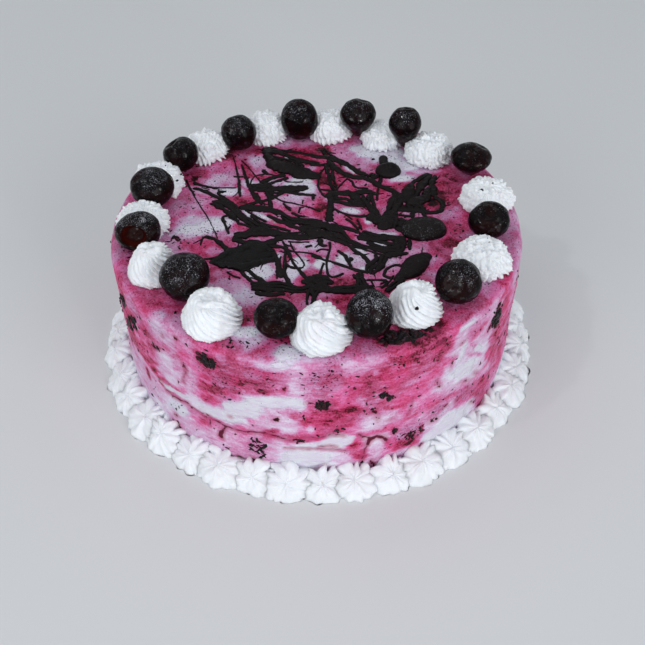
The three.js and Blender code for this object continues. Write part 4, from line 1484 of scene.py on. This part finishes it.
    def combed(self) -> tuple[Strand, ...]:
        """The drizzle with each wide stroke split into narrower strands that weave about its middle.

        Returns:
            The strands; clubs and pools, whose edges are smoother, stay whole.
        """
        draw = np.random.default_rng(self.seed + 1)
        found = []
        for strand in DRIZZLE:
            rows = np.asarray(strand.knots)
            if rows[:, 2].max() < self.split_width or strand.rough < 1.0:
                found.append(strand)
                continue
            ahead = unit(np.gradient(rows[:, :2], axis=0))
            left = np.stack((-ahead[:, 1], ahead[:, 0]), -1)
            for side in self.split_sides:
                weave = side + draw.uniform(-0.18, 0.18, len(rows))
                middle = rows[:, :2] + left * (weave * rows[:, 2])[:, None]
                width = rows[:, 2] * draw.uniform(0.26, 0.5, len(rows))
                knots = tuple(zip(*middle.T.tolist(), width.tolist()))
                found.append(Strand(knots, strand.frost, strand.gloss, 1.2, draw.uniform(1.0, 1.5)))
        return tuple(found)

    def build(self, name: str, strands: Sequence[Strand]) -> Piece:
        """Builds the mesh: all strands in one piece.

        Args:
            name: the piece's name.
            strands: the strands.

        Returns:
            The strands with their painted layers.
        """
        rings = np.stack([self.strand(strand, number) for number, strand in enumerate(strands)])
        skin = Skin.of_rings(rings, rings[:, 0].mean(1), rings[:, -1].mean(1))
        each = skin.points.shape[1]
        layers = {
            "frost": np.repeat([strand.frost for strand in strands], each),
            "gloss": np.repeat([strand.gloss for strand in strands], each),
        }
        return skin.piece(name, layers)

    def dress(self, *pieces: Piece) -> None:
        """Gives the drizzle its finish and hands it over."""
        material = ChocolateFinish().material()
        for piece in pieces:
            hand_over(piece, material, "chocolate")


@dataclass(frozen=True)
class Cluster:
    """A patch of chopped fruit: its centre on a chart, half sizes, lean and number of bits.

    The centre is degrees round and millimetres up on the wall, x and y on the top.
    """

    across: float
    along: float
    half_width: float
    half_height: float
    lean: float
    bits: int
    bit_size: float


WALL_CLUSTERS = rows_of(
    Cluster,
    (186, 20, 2.5, 4, 0, 6, 1.6), (197, 50, 2, 5, 10, 8, 1.6), (203, 60, 2.0, 8, -40, 13, 1.6),
    (210.5, 56, 2.8, 7, -35, 14, 1.7), (241, 67.5, 4.6, 5, 0, 26, 1.4),
    (253.3, 18.5, 3.8, 7, 15, 34, 1.15), (271, 50.5, 3.6, 3.4, 0, 18, 1.4),
    (287.5, 50.6, 4.5, 1.6, -42, 12, 1.3), (289.9, 26.5, 1.6, 2, -10, 7, 1.0),
    (295, 19.5, 3.4, 3, 0, 12, 0.9), (298.3, 21, 1.5, 3, 0, 6, 0.8), (325, 63, 5.5, 6.5, 0, 26, 1.6),
    (264.5, 27.4, 3.8, 0.8, 5, 7, 0.9), (274.8, 33.5, 2.8, 2, 0, 8, 0.8),
    (302, 23.5, 2, 1.4, 0, 5, 0.8), (283, 43, 3, 2.5, 0, 7, 0.7), (222, 56.6, 3.6, 1.4, 15, 8, 0.9),
    (270, 70, 8, 4, 0, 10, 0.7), (247, 51, 6, 5, 0, 9, 0.6), (228, 23, 6, 4, 0, 8, 0.6),
    (352, 40, 4, 5, 0, 10, 1.5), (20, 55, 5, 4, 0, 14, 1.6), (48, 30, 4, 5, 20, 12, 1.4),
    (75, 60, 4, 4, 0, 12, 1.6), (101, 36, 5, 3, 0, 12, 1.4), (128, 58, 3, 6, -20, 12, 1.5),
    (150, 25, 5, 4, 0, 12, 1.4), (166, 62, 4, 4, 0, 10, 1.6),
)
TOP_CLUSTERS = rows_of(
    Cluster,
    (36, -84, 8.5, 4.2, 8, 64, 1.6), (29, -87, 4, 2.6, 0, 20, 1.3), (45, -81, 5, 3, 30, 16, 1.0),
    (-66, -14, 5, 2, -20, 9, 1.2), (-53, -8.5, 8, 1.6, 18, 14, 0.6), (-36, -86, 7, 3, 0, 8, 0.9),
)


@dataclass(frozen=True)
class FruitBits:
    """Chopped dark fruit in patches and fine seeds all over, as small lumps half sunk in the cake."""

    drum: CakeDrum
    seeds: int = 2500
    wall_share: float = 0.62
    seed_reach: float = 94.0
    bit_grid: Grid = (6, 10)
    seed_grid: Grid = (2, 6)
    notch_bits: int = 9
    notch_ring: float = 110.0
    notch_height: float = 0.9
    seed: int = 77

    def strewn(
        self, patches: Sequence[Cluster], scale: float, draw: np.random.Generator
    ) -> tuple[Array, Array, Array]:
        """Strews each patch's bits evenly over its oval.

        Args:
            patches: the patches.
            scale: millimetres for one unit of the chart's first axis.
            draw: the random draw.

        Returns:
            Where each bit is along the chart's two axes, and its three half sizes.
        """
        across, along, sizes = [], [], []
        for patch in patches:
            far = np.sqrt(draw.uniform(0.0, 1.0, patch.bits))
            turn = draw.uniform(0.0, 2 * math.pi, patch.bits)
            lean = math.radians(patch.lean)
            right, up = far * np.cos(turn) * patch.half_width, far * np.sin(turn) * patch.half_height
            across.append(patch.across + (right * math.cos(lean) - up * math.sin(lean)) / scale)
            along.append(patch.along + right * math.sin(lean) + up * math.cos(lean))
            size = patch.bit_size * draw.uniform(0.4, 1.2, (patch.bits, 1))
            sizes.append(size * draw.uniform((0.8, 0.35, 0.3), (1.5, 0.8, 0.5), (patch.bits, 3)))
        return np.concatenate(across), np.concatenate(along), np.concatenate(sizes)

    def lumps(
        self, points: Array, outward: Array, sizes: Array, grid: Grid, draw: np.random.Generator
    ) -> Skin:
        """Ovals with uneven skins: a ball squashed to three half sizes and dented by noise.

        Args:
            points: their centres.
            outward: the surface's outward direction at each.
            sizes: half length, half width and half height of each.
            grid: how many rings each has, and points a ring.
            draw: the random draw that turns each about its outward direction.

        Returns:
            The closed skins.
        """
        first = unit(np.cross(outward, np.array((0.0, 0.0, 1.0)) + 0.02))
        second = np.cross(outward, first)
        spin = draw.uniform(0.0, 2 * math.pi, len(points))[:, None]
        long = first * np.cos(spin) + second * np.sin(spin)
        wide = np.cross(outward, long)
        tilt = np.linspace(0.0, math.pi, grid[0] + 2)[:, None]
        ball = around(np.sin(tilt), full_turn(grid[1]), -np.cos(tilt))
        own = ball[None] + 5.0 * np.arange(len(points))[:, None, None, None]
        dented = ball[None] * (1.0 + 0.5 * noise(own, 0.6, 61))[..., None] * sizes[:, None, None]
        axes = np.stack((long, wide, outward), 1)
        placed = np.einsum("nrcd,nde->nrce", dented, axes) + points[:, None, None]
        return Skin.of_rings(placed[:, 1:-1], placed[:, 0, 0], placed[:, -1, 0])

    def build_bits(self, rosettes: Sequence["Rosette"]) -> Piece:
        """Builds the chopped fruit: patches on wall and top, specks on rosettes, dark lumps between
        stars.

        Args:
            rosettes: the rosettes, for their specks.

        Returns:
            The bits, with the layer "kind".
        """
        draw = np.random.default_rng(self.seed)
        degrees, heights, wall_sizes = self.strewn(WALL_CLUSTERS, math.radians(1.0) * DRUM_RADIUS, draw)
        x, y, top_sizes = self.strewn(TOP_CLUSTERS, 1.0, draw)
        plain = self.drum.wall(degrees, np.clip(heights, 3.0, 72.0))
        wall, _ = self.drum.settle(plain, np.zeros(len(plain)))
        top = np.stack((x, y, 0 * x + DRUM_HEIGHT), -1)
        specks = np.concatenate([rosette.speckled() for rosette in rosettes])
        speck_sizes = np.array([speck[2] for rosette in rosettes for speck in rosette.specks])
        # a few small dark lumps in the notches between the stars, down at the floor
        step = 360.0 / StarBorder.count
        picks = draw.permutation(StarBorder.count)[:self.notch_bits]
        notches = 0.5 * step + step * picks + draw.uniform(-0.8, 0.8, self.notch_bits)
        notch_lumps = around(self.notch_ring, np.radians(notches), self.notch_height)
        specks = np.concatenate((specks, notch_lumps))
        speck_sizes = np.append(speck_sizes, draw.uniform(0.8, 1.5, self.notch_bits))
        points = np.concatenate((wall, top, specks))
        level = np.concatenate((np.zeros(len(wall)), np.ones(len(top) + len(specks))))[:, None]
        outward = unit(points * (1.0 - level) * (1.0, 1.0, 0.0) + level * (0.0, -0.3, 1.0))
        sizes = np.concatenate((wall_sizes, top_sizes, speck_sizes[:, None] * (0.75, 0.6, 0.45)))
        skin = self.lumps(points, outward, sizes, self.bit_grid, draw)
        kind = draw.choice((0.0, 0.05, 0.3, 0.55, 0.8), len(points), p=(0.45, 0.3, 0.12, 0.08, 0.05))
        kind[len(wall) + len(top):] = 0.0
        kind[-self.notch_bits:] = 0.7
        return skin.piece("fruit_bits", {"kind": np.repeat(kind, skin.points.shape[1])})

    def build_seeds(self) -> Piece:
        """Builds the seeds: strewn by area, kept more often where the marbling is pink and in drifts.

        Returns:
            The seeds, with the layer "kind".
        """
        draw = np.random.default_rng(self.seed + 1)
        on_wall = int(self.seeds * self.wall_share)
        wall = self.drum.wall(draw.uniform(0, 360, on_wall * 2), draw.uniform(9, 74, on_wall * 2))
        turns = draw.uniform(0, 2 * math.pi, self.seeds)
        reach = self.seed_reach * np.sqrt(draw.uniform(0, 1, self.seeds))
        top = around(reach, turns, DRUM_HEIGHT)
        plain = np.concatenate((wall, top))
        lean = np.concatenate((np.zeros(len(wall)), np.full(len(top), math.pi / 2)))
        points, paint = self.drum.settle(plain, lean)
        drift = smoothstep(-0.05, 0.5, fractal(plain, 10, 71))
        wanted = smoothstep(0.05, 0.6, paint.tone) * (0.2 + 0.4 * drift + 0.5 * paint.specks)
        keep = draw.uniform(0, 1, len(points)) < 0.8 * wanted
        points, lean = points[keep], lean[keep]
        outward = unit(points * np.where(lean[:, None] > 0, (0.0, 0.0, 1.0), (1.0, 1.0, 0.0)))
        scale = 0.24 + 0.7 * draw.uniform(0, 1, (len(points), 1)) ** 2.4
        sizes = scale * draw.uniform((1.0, 0.5, 0.35), (1.9, 0.8, 0.5), (len(points), 3))
        skin = self.lumps(points, outward, sizes, self.seed_grid, draw)
        kind = draw.choice((0.0, 0.3, 0.55), len(points), p=(0.35, 0.3, 0.35))
        return skin.piece("fruit_seeds", {"kind": np.repeat(kind, skin.points.shape[1])})

    def dress(self, *pieces: Piece) -> None:
        """Gives bits and seeds their finish and hands them over."""
        material = FruitFinish().material()
        for piece in pieces:
            hand_over(piece, material, "cherry_skin")


@dataclass(frozen=True)
class RidgeStyle:
    """How a rosette is piped.

    ridges run round the foot; depth is their bite as a share of the radius, twist how far they turn
    from crown to foot, in degrees, and wander how far they stray, in radians. lumps gives the heights
    of coarse and fine lumps on the side, in millimetres, and broken those on the crown. profile is
    the half section as shares of the radius and the height.
    """

    ridges: int
    depth: float
    twist: float
    wander: float
    lumps: Point
    broken: Point
    profile: tuple[Point, ...]


class Piping(Enum):
    """How a rosette was piped: a swirl of ridges, or ridges crumbled by the cold."""

    SWIRL = RidgeStyle(18, 0.25, 150.0, 0.24, (0.5, 0.25), (1.5, 0.5), (
        (0.86, 0.0), (0.99, 0.04), (1.0, 0.15), (0.95, 0.34), (0.85, 0.54),
        (0.73, 0.72), (0.61, 0.84), (0.46, 0.90), (0.24, 0.91), (0.0, 0.82),
    ))
    CRUMBLED = RidgeStyle(26, 0.10, 40.0, 0.30, (0.55, 0.75), (0.8, 0.9), (
        (0.86, 0.0), (0.98, 0.08), (1.0, 0.24), (0.95, 0.45), (0.86, 0.63),
        (0.73, 0.78), (0.57, 0.87), (0.41, 0.91), (0.22, 0.92), (0.0, 0.90),
    ))


def crests(turns: Array) -> Array:
    """A wave of sharp crests, 0 in the grooves and 1 on the crests, one to each whole turn."""
    return 1.0 - np.abs(2.0 * (turns % 1.0) - 1.0)


@dataclass(frozen=True)
class Rosette:
    """One piped rosette: a dome of revolution with twisted ridges, lumps and a broken crown.

    Each of its specks is degrees round, a share of the way up and a size in millimetres.
    """

    number: int
    degrees: float
    ring: float
    radius: float
    height: float
    piping: Piping = Piping.CRUMBLED
    specks: tuple[Knot, ...] = ()
    teeth: float = 0.11
    lean: float = 0.07
    rows: int = 60
    columns: int = 252

    def place(self) -> Array:
        """The middle of its foot, a little sunk in the drum's top."""
        return np.append(on_ring(self.degrees, self.ring), TOPPING_FOOT - ROSETTE_SINK)

    def surface(self) -> Array:
        """The skin: radius = profile x (1 - depth x (1 - ridge)), pushed out along its normal by lumps.

        The ridge is a crested wave of the twisted angle that dies out at the crown. Lumps are the
        size of the noise there, so they are round with creases between them.

        Returns:
            Rings as (rows, columns, 3) about the rosette's own axis.
        """
        style = self.piping.value
        share = np.linspace(0.0, 1.0, self.rows + 1)[:-1, None]
        section = through(style.profile, share[:, 0]) * (self.radius, self.height)
        slope = unit(np.gradient(section, axis=0))
        angle = full_turn(self.columns)[None]
        spread = around(1.0, angle, 1.6 * share) + 7.0 * self.number
        turned = angle - 0.7 * self.number + math.radians(style.twist) * (1.0 - (1.0 - share) ** 1.6)
        phase = turned + style.wander * noise(spread, 0.55, 81)
        crest = crests(style.ridges * phase / (2 * math.pi))
        ridge = 0.5 * crest + 0.5 * np.sqrt(np.sin(0.5 * math.pi * crest))
        crown = smoothstep(0.60, 0.96, share)
        along = around(1.0, phase, 0.25 * share + self.number)
        bite = style.depth * (1.0 - crown) * (0.8 + 0.7 * noise(along, 0.3, 83))
        teeth = self.teeth * smoothstep(0.3, 0.0, share) * (crest - 0.5)
        reach = section[:, :1] * (1.0 - bite * (1.0 - ridge) + teeth + 0.05 * noise(spread, 0.7, 85))
        points = around(reach, angle, section[:, 1:])
        outward = around(slope[:, 1:], angle, -slope[:, :1])
        own = points + 40.0 * self.number
        coarse = 2.4 * np.abs(noise(own, 4.4, 82)) - 0.7
        fine = 2.0 * np.abs(noise(own, 1.9, 84)) - 0.6 + 0.5 * noise(own, 0.8, 87)
        heights = [side + (top - side) * crown for side, top in zip(style.lumps, style.broken)]
        points = points + outward * (heights[0] * coarse + heights[1] * fine)[..., None]
        lean = self.lean * self.radius * share**2
        points[..., 0] += lean * math.cos(1.9 * self.number)
        points[..., 1] += lean * math.sin(1.9 * self.number)
        points[..., 2] = np.maximum(points[..., 2], 0.0)
        return points

    def build(self) -> Piece:
        """Builds the mesh on the drum's top.

        Returns:
            The rosette.
        """
        place = self.place()
        rings = (self.surface() + place)[None]
        skin = Skin.of_rings(rings, place[None], rings[:, -1].mean(1))
        points = skin.points[0]
        foot_share = np.clip((points[:, 2] - place[2]) / self.height, 0.0, 1.0)
        blot = smoothstep(0.25, 0.7, noise(points, 6.0, 88))
        patchy = smoothstep(-0.4, 0.5, noise(points, 5, 89))
        stain = (0.45 * smoothstep(0.14, 0.0, foot_share) + 0.10 * blot) * patchy
        return skin.piece(f"rosette_{self.number:02d}", {"stain": stain})

    def speckled(self) -> Array:
        """The middles of its specks, one row for each."""
        skin = self.surface() + self.place()
        picks = [
            (int(share * self.rows), int(turn / 360 * self.columns))
            for turn, share, _ in self.specks
        ]
        return np.array([skin[pick] for pick in picks]).reshape(-1, 3)

    def dress(self, piece: Piece, cream: Material) -> None:
        """Gives the rosette its finish and hands it over."""
        hand_over(piece, cream, "cream", f"cream_rosette_{self.number:02d}")


ROSETTES = (
    Rosette(1, 238, 86, 13.2, 15.8, Piping.SWIRL),
    Rosette(2, 271, 83.5, 13.1, 15.8, Piping.SWIRL),
    Rosette(3, 301.5, 80.5, 12, 15.6, Piping.SWIRL, ((268, 0.53, 1.3),)),
    Rosette(4, 334, 84, 13.6, 12.2, specks=((18, 0.9, 0.5), (60, 0.85, 0.4))),
    Rosette(5, 8.5, 86, 13.3, 11, specks=((228, 0.8, 1.2), (16, 0.9, 0.7))),
    Rosette(6, 42.5, 81, 12.8, 12.4),
    Rosette(7, 62.5, 79, 11.5, 10.8),
    Rosette(8, 84, 79.5, 12.2, 12.8),
    Rosette(9, 108.5, 83, 11.8, 13.2),
    Rosette(10, 133, 85, 12, 11.4),
    Rosette(
        11, 158.5, 85.5, 13, 11.6,
        specks=((334, 0.43, 1.0), (12, 0.36, 1.0), (26, 0.8, 0.6), (350, 0.3, 0.7)),
    ),
    Rosette(12, 182, 83.5, 13, 11.4),
    Rosette(13, 207.5, 83.5, 11.7, 16.2, Piping.SWIRL),
)


@dataclass(frozen=True)
class Cherry:
    """One frozen cherry: an oval with a dimple at its stem end, or a pit hole torn open.

    dimple and hole are a width and a depth as shares of the ball; taper narrows its foot.
    """

    number: int
    degrees: float
    ring: float
    half_width: float
    half_height: float
    lift: float
    stem_azimuth: float
    stem_elevation: float
    pitted: bool = False
    frost: float = 0.6
    dimple: Point = (0.27, 0.16)
    hole: Point = (0.55, 0.62)
    taper: float = 0.0
    rows: int = 72
    columns: int = 112

    def surface(self) -> tuple[Array, Array]:
        """A ball about its stem axis, pressed in at the stem end by a bell curve and dented by noise.

        Returns:
            The ball's points as (rows + 2, columns, 3) with its poles, and how far each is in the hole.
        """
        tilt = np.linspace(0.0, math.pi, self.rows + 2)[:, None]
        ball = around(np.sin(tilt), full_turn(self.columns), -np.cos(tilt))
        width, depth = self.hole if self.pitted else self.dimple
        torn = 1.0 + 0.18 * noise(ball + self.number, 0.35, 91) * self.pitted
        upper = ball[..., 2] > 0
        bell = np.exp(-((np.sin(tilt) / (width * torn)) ** (6 if self.pitted else 2))) * upper
        own = ball + 3.0 * self.number
        swell = 1.0 + 0.06 * fractal(own, 0.95, 92)
        swell = swell + 0.014 * noise(own, 0.25, 95) + 0.006 * noise(own, 0.09, 96)
        ball = ball * swell[..., None]
        ball[..., 2] -= depth * bell
        return ball, bell * self.pitted

    def build(self) -> Piece:
        """Builds the mesh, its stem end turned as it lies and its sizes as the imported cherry's.

        Returns:
            The cherry with its painted layers.
        """
        ball, hole = self.surface()
        stem = Matrix.Rotation(math.radians(self.stem_azimuth), 3, "Z") @ Matrix.Rotation(
            math.radians(90.0 - self.stem_elevation), 3, "Y"
        )
        turned = ball @ np.array(stem).T
        place = np.append(on_ring(self.degrees, self.ring), TOPPING_FOOT + self.half_height + self.lift)
        sized = turned * (self.half_width, self.half_width, self.half_height)
        sized[..., :2] *= 1.0 - self.taper * smoothstep(0.4, -1.0, turned[..., 2:])
        sized[..., 2] = np.maximum(sized[..., 2], -self.half_height)
        points = sized + place
        skin = Skin.of_rings(points[None, 1:-1], points[None, 0, 0], points[None, -1, 0])
        patchy = 0.4 * fractal(turned + 9.0 * self.number, 0.8, 97)
        cover = smoothstep(0.0, 0.95, turned[..., 2] + patchy)
        # the flesh layer also makes each cherry a little redder towards the bottom
        flesh = np.maximum(hole, 0.12 * smoothstep(0.0, -0.7, turned[..., 2]))
        frost = np.clip(self.frost * cover, 0.0, 1.0) * (1.0 - hole)
        layers = {}
        for name, grid in (("frost", frost), ("flesh", flesh)):
            layers[name] = np.concatenate((grid[0, :1], grid[1:-1].ravel(), grid[-1, :1]))
        return skin.piece(f"frozen_cherry_{self.number:02d}", layers)

    def dress(self, piece: Piece, skin: Material) -> None:
        """Gives the cherry its finish and hands it over."""
        hand_over(piece, skin, "cherry_skin", f"cherry_{self.number:02d}")


CHERRIES = (
    Cherry(1, 257.8, 82.4, 9.7, 8.1, 0, 90, 70, frost=0.25),
    Cherry(2, 285, 84.1, 10.4, 10.4, 0, 240, 15, frost=0.9),
    Cherry(3, 315.6, 86.3, 10.2, 9.9, 0, 245, 25, frost=0.5, dimple=(0.5, 0.2)),
    Cherry(4, 350.5, 82.5, 9.9, 8.2, 0, 270, 68, frost=0.4, dimple=(0.5, 0.42)),
    Cherry(5, 25.9, 88.3, 11, 7.9, 0, 30, 55, frost=0.2, taper=0.35),
    Cherry(6, 52.6, 78, 9.1, 11.4, 2, 80, 75, frost=0.55, taper=0.45),
    Cherry(7, 72.7, 77.8, 9.9, 10.9, 1, 40, 70, frost=0.6, taper=0.5),
    Cherry(8, 96.2, 76.5, 10, 10.9, 0, 280, 50, frost=0.55),
    Cherry(9, 121.4, 77.3, 9.3, 9.6, 0, 120, 60, frost=0.6),
    Cherry(10, 145.6, 84, 9.3, 8.7, 0, 160, 55, frost=0.4, dimple=(0.42, 0.36)),
    Cherry(11, 168.3, 82.2, 10.8, 9.4, 0, 200, 60, frost=0.7),
    Cherry(12, 192, 85.1, 10.9, 8.2, 0, 262, 20, pitted=True, frost=0.9),
    Cherry(13, 223.1, 79.6, 11.4, 10.3, 0, 90, 60, frost=0.65),
)


@dataclass(frozen=True)
class StarBorder:
    """The border round the foot: uneven piped stars between wall and floor, facing out and up."""

    count: int = 40
    pivot_ring: float = 103.7
    pivot_height: float = 3.1
    radius: float = 10.7
    height: float = 5.6
    tilt: float = 35.0
    spread: float = 1.2
    sizes: Point = (0.93, 1.07)
    tilt_spread: float = 4.0
    petals: int = 9
    front_depth: float = 0.11
    wall_depth: float = 0.44
    lumps: float = 0.45
    rows: int = 24
    columns: int = 100
    seed: int = 19
    profile: tuple[Point, ...] = (
        (0.62, -1.3), (0.86, -0.7), (0.97, -0.3), (1.0, 0.02), (0.97, 0.26),
        (0.87, 0.52), (0.70, 0.72), (0.48, 0.87), (0.24, 0.95), (0.0, 0.96),
    )

    def surface(self) -> Array:
        """Each star: a low dome, radius = profile x (1 - depth x (1 - petal)) with petals round its rim.

        A petal is broad and round, with a narrow crease on each side, deeper towards the wall; the
        creases die out at the crown. The star's axis tilts out from the wall, so it faces out and
        up. What would enter the wall or the floor is pressed flat against it.

        Returns:
            Rings as (stars, rows, columns, 3).
        """
        draw = np.random.default_rng(self.seed)
        shape = (self.count, 1, 1)
        size = draw.uniform(*self.sizes, shape)
        spin = draw.uniform(0, 2 * math.pi, shape)
        petals = self.petals + draw.integers(0, 2, shape)
        share = np.linspace(0.0, 1.0, self.rows + 1)[None, :-1, None]
        section = through(self.profile, share[0, :, 0])
        reach, rise = section[None, :, :1], section[None, :, 1:]
        angle = full_turn(self.columns)[None, None]
        number = np.arange(self.count)[:, None, None]
        own = np.stack(np.broadcast_arrays(np.cos(angle) + 5.0 * number, np.sin(angle), 1.3 * share), -1)
        phase = angle - spin + 0.45 * noise(own, 0.6, 101) + 0.3 * share
        crest = np.abs(np.sin(0.5 * petals * phase))
        petal = crest**0.8
        near_wall = smoothstep(0.35, 1.0, 0.5 - 0.5 * np.cos(angle))
        deep = self.front_depth + (self.wall_depth - self.front_depth) * near_wall
        deep = deep * (1.0 - 0.9 * smoothstep(0.42, 0.85, share)) * (0.95 + 0.9 * noise(own, 0.45, 102))
        factor = 1.0 - deep * (1.0 - petal) + 0.04 * smoothstep(0.6, 0.3, share) * (crest - 0.5)
        factor = factor + 0.08 * noise(own, 0.8, 103) + 0.07 * noise(own, 0.2, 104) * (0.3 + 0.7 * crest)
        flat = self.radius * size * reach * factor
        rough = 0.12 * noise(own, 0.45, 105) + 0.07 * noise(own, 0.18, 106)
        folds = (0.11 + 0.25 * near_wall) * (petal - 0.6) * smoothstep(0.9, 0.5, share)
        up = self.height * size * (rise + folds + rough)
        tilt = np.radians(self.tilt + draw.normal(0.0, self.tilt_spread, shape))
        x = flat * np.cos(angle) * np.cos(tilt) + up * np.sin(tilt)
        z = up * np.cos(tilt) - flat * np.cos(angle) * np.sin(tilt)
        x = self.pivot_ring + draw.uniform(-0.6, 0.5, shape) + x
        z = np.maximum(self.pivot_height + draw.uniform(-0.5, 0.4, shape) + z, 0.0)
        y = self.spread * flat * np.sin(angle)
        turns = number * (2 * math.pi / self.count) + np.radians(draw.uniform(-1.0, 1.0, shape))
        px, py = x * np.cos(turns) - y * np.sin(turns), x * np.sin(turns) + y * np.cos(turns)
        wall = wall_radius(z) - 0.5
        place = np.stack((px, py, z), -1)
        lump = noise(place, 5.0, 108) + 0.5 * noise(place, 2.2, 109)
        grown = 1.0 + self.lumps * lump / np.hypot(px, py)
        lifted = np.maximum(z + self.lumps * lump * smoothstep(1.5, 5.0, z), 0.0)
        out = np.maximum(wall / np.hypot(px, py), grown)
        return np.stack((px * out, py * out, lifted), -1)

    def build(self) -> Piece:
        """Builds the mesh: all stars in one piece.

        Returns:
            The border with its painted stain, pink where a star touches the wall.
        """
        rings = self.surface()
        foot, crown = rings[:, 0].mean(1), rings[:, -1].mean(1)
        skin = Skin.of_rings(rings, foot, crown - 0.02 * (crown - foot))
        reach = np.hypot(skin.points[..., 0], skin.points[..., 1])
        near = smoothstep(101.5, 98.5, reach)
        stain = 0.5 * near * smoothstep(0.0, 0.6, noise(skin.points, 9.0, 107))
        return skin.piece("star_border", {"stain": stain})

    def dress(self, piece: Piece, cream: Material) -> None:
        """Gives the border its finish and hands it over."""
        hand_over(piece, cream, "cream", "cream_border")


# Camera, light and floor

@dataclass(frozen=True)
class SoftLight:
    """A round area light that looks at the cake: where it stands, its width and power."""

    name: str
    place: Knot
    width: float
    power: float
    colour: Colour = (1.0, 1.0, 1.0)

    def add(self) -> None:
        """Adds the light to the scene."""
        light = bpy.data.lights.new(self.name, "AREA")
        light.shape = "DISK"
        light.size = self.width
        light.energy = self.power
        light.color = self.colour
        lamp = bpy.data.objects.new(self.name, light)
        lamp.location = self.place
        aim = Vector((0.0, 0.0, 0.05)) - Vector(self.place)
        lamp.rotation_euler = aim.to_track_quat("-Z", "Y").to_euler()
        bpy.context.scene.collection.objects.link(lamp)


@dataclass(frozen=True)
class Studio:
    """A pale floor, soft cool daylight and a camera that looks down on the cake from the front."""

    camera_place: Knot = (0.0, -396.3, 366.87)
    camera_aim: Knot = (2.352, 0.0, 9.539)
    camera_roll: float = -0.014
    focal_pixels: float = 1004.46
    image_pixels: float = 645.0
    sensor: float = 36.0
    floor_side: float = 9.0
    floor_colour: Colour = (0.70, 0.71, 0.72)
    sky: Colour = (0.90, 0.95, 1.0)
    sky_strength: float = 0.42
    lights: tuple[SoftLight, ...] = (
        SoftLight("overhead", (-0.3, 0.2, 1.6), 1.8, 4.5, (0.97, 0.99, 1.0)),
        SoftLight("front_left", (-1.1, -1.4, 0.72), 1.3, 10.6, (0.96, 0.985, 1.0)),
        SoftLight("front_right", (1.1, -1.4, 0.72), 1.3, 13.5, (0.96, 0.985, 1.0)),
        SoftLight("glint_left", (-0.9, -0.5, 1.5), 0.1, 2.0, (0.97, 0.99, 1.0)),
        SoftLight("glint_right", (0.8, -1.5, 0.5), 0.1, 1.8, (0.97, 0.99, 1.0)),
    )

    def add_camera(self) -> None:
        """Stands the camera at its place, turned to its aim and rolled a little."""
        place, aim = Vector(self.camera_place), Vector(self.camera_aim)
        ahead = (aim - place).normalized()
        right = ahead.cross(Vector((0.0, 0.0, 1.0))).normalized()
        up = right.cross(ahead)
        cos, sin = math.cos(self.camera_roll), math.sin(self.camera_roll)
        right, up = right * cos + up * sin, up * cos - right * sin
        turn = Matrix((right, up, -ahead)).transposed().to_4x4()
        data = bpy.data.cameras.new("camera")
        data.sensor_width = self.sensor
        data.lens = self.focal_pixels / self.image_pixels * self.sensor
        data.clip_start = 0.01
        camera = bpy.data.objects.new("camera", data)
        camera.matrix_world = Matrix.Translation(place * MILLIMETRE) @ turn
        bpy.context.scene.collection.objects.link(camera)
        bpy.context.scene.camera = camera

    def add_floor(self) -> None:
        """Lays a plain square floor just under the cake's foot."""
        half = 0.5 * self.floor_side
        mesh = bpy.data.meshes.new("floor")
        corners = [(-half, -half, 0.0), (half, -half, 0.0), (half, half, 0.0), (-half, half, 0.0)]
        mesh.from_pydata(corners, [], [(0, 1, 2, 3)])
        material, pen = new_material("pale_floor")
        pen.finish({"Base Color": self.floor_colour, "Roughness": 0.7, "Specular IOR Level": 0.2})
        mesh.materials.append(material)
        floor = bpy.data.objects.new("floor", mesh)
        bpy.context.scene.collection.objects.link(floor)

    def add_light(self) -> None:
        """Sets a soft even sky and the area lights."""
        world = bpy.data.worlds.new("soft_daylight")
        world.use_nodes = True
        sky = world.node_tree.nodes["Background"]
        sky.inputs["Color"].default_value = (*self.sky, 1.0)
        sky.inputs["Strength"].default_value = self.sky_strength
        bpy.context.scene.world = world
        for light in self.lights:
            light.add()
        bpy.context.scene.view_settings.view_transform = "Standard"
        bpy.context.scene.view_settings.look = "None"

    def build(self) -> None:
        """Sets up camera, floor and light."""
        self.add_camera()
        self.add_floor()
        self.add_light()


def main() -> None:
    """Builds and dresses the cake piece by piece."""
    logging.basicConfig(level=logging.INFO, format="%(name)s: %(message)s")
    Studio().build()
    drum = CakeDrum()
    drum.dress(drum.build())
    drizzle = Drizzle()
    fine = Drizzle(steps=18, cap_steps=3, top_sides=5, under_sides=3)
    strands, threads = drizzle.combed(), fine.threads()
    drizzle.dress(drizzle.build("chocolate_drizzle", strands), fine.build("chocolate_threads", threads))
    bits = FruitBits(drum)
    bits.dress(bits.build_bits(ROSETTES), bits.build_seeds())
    cream = CreamFinish().material()
    for rosette in ROSETTES:
        rosette.dress(rosette.build(), cream)
    border = StarBorder()
    border.dress(border.build(), cream)
    cherry_skin = CherryFinish().material()
    for cherry in CHERRIES:
        cherry.dress(cherry.build(), cherry_skin)


if __name__ == "__main__":
    main()
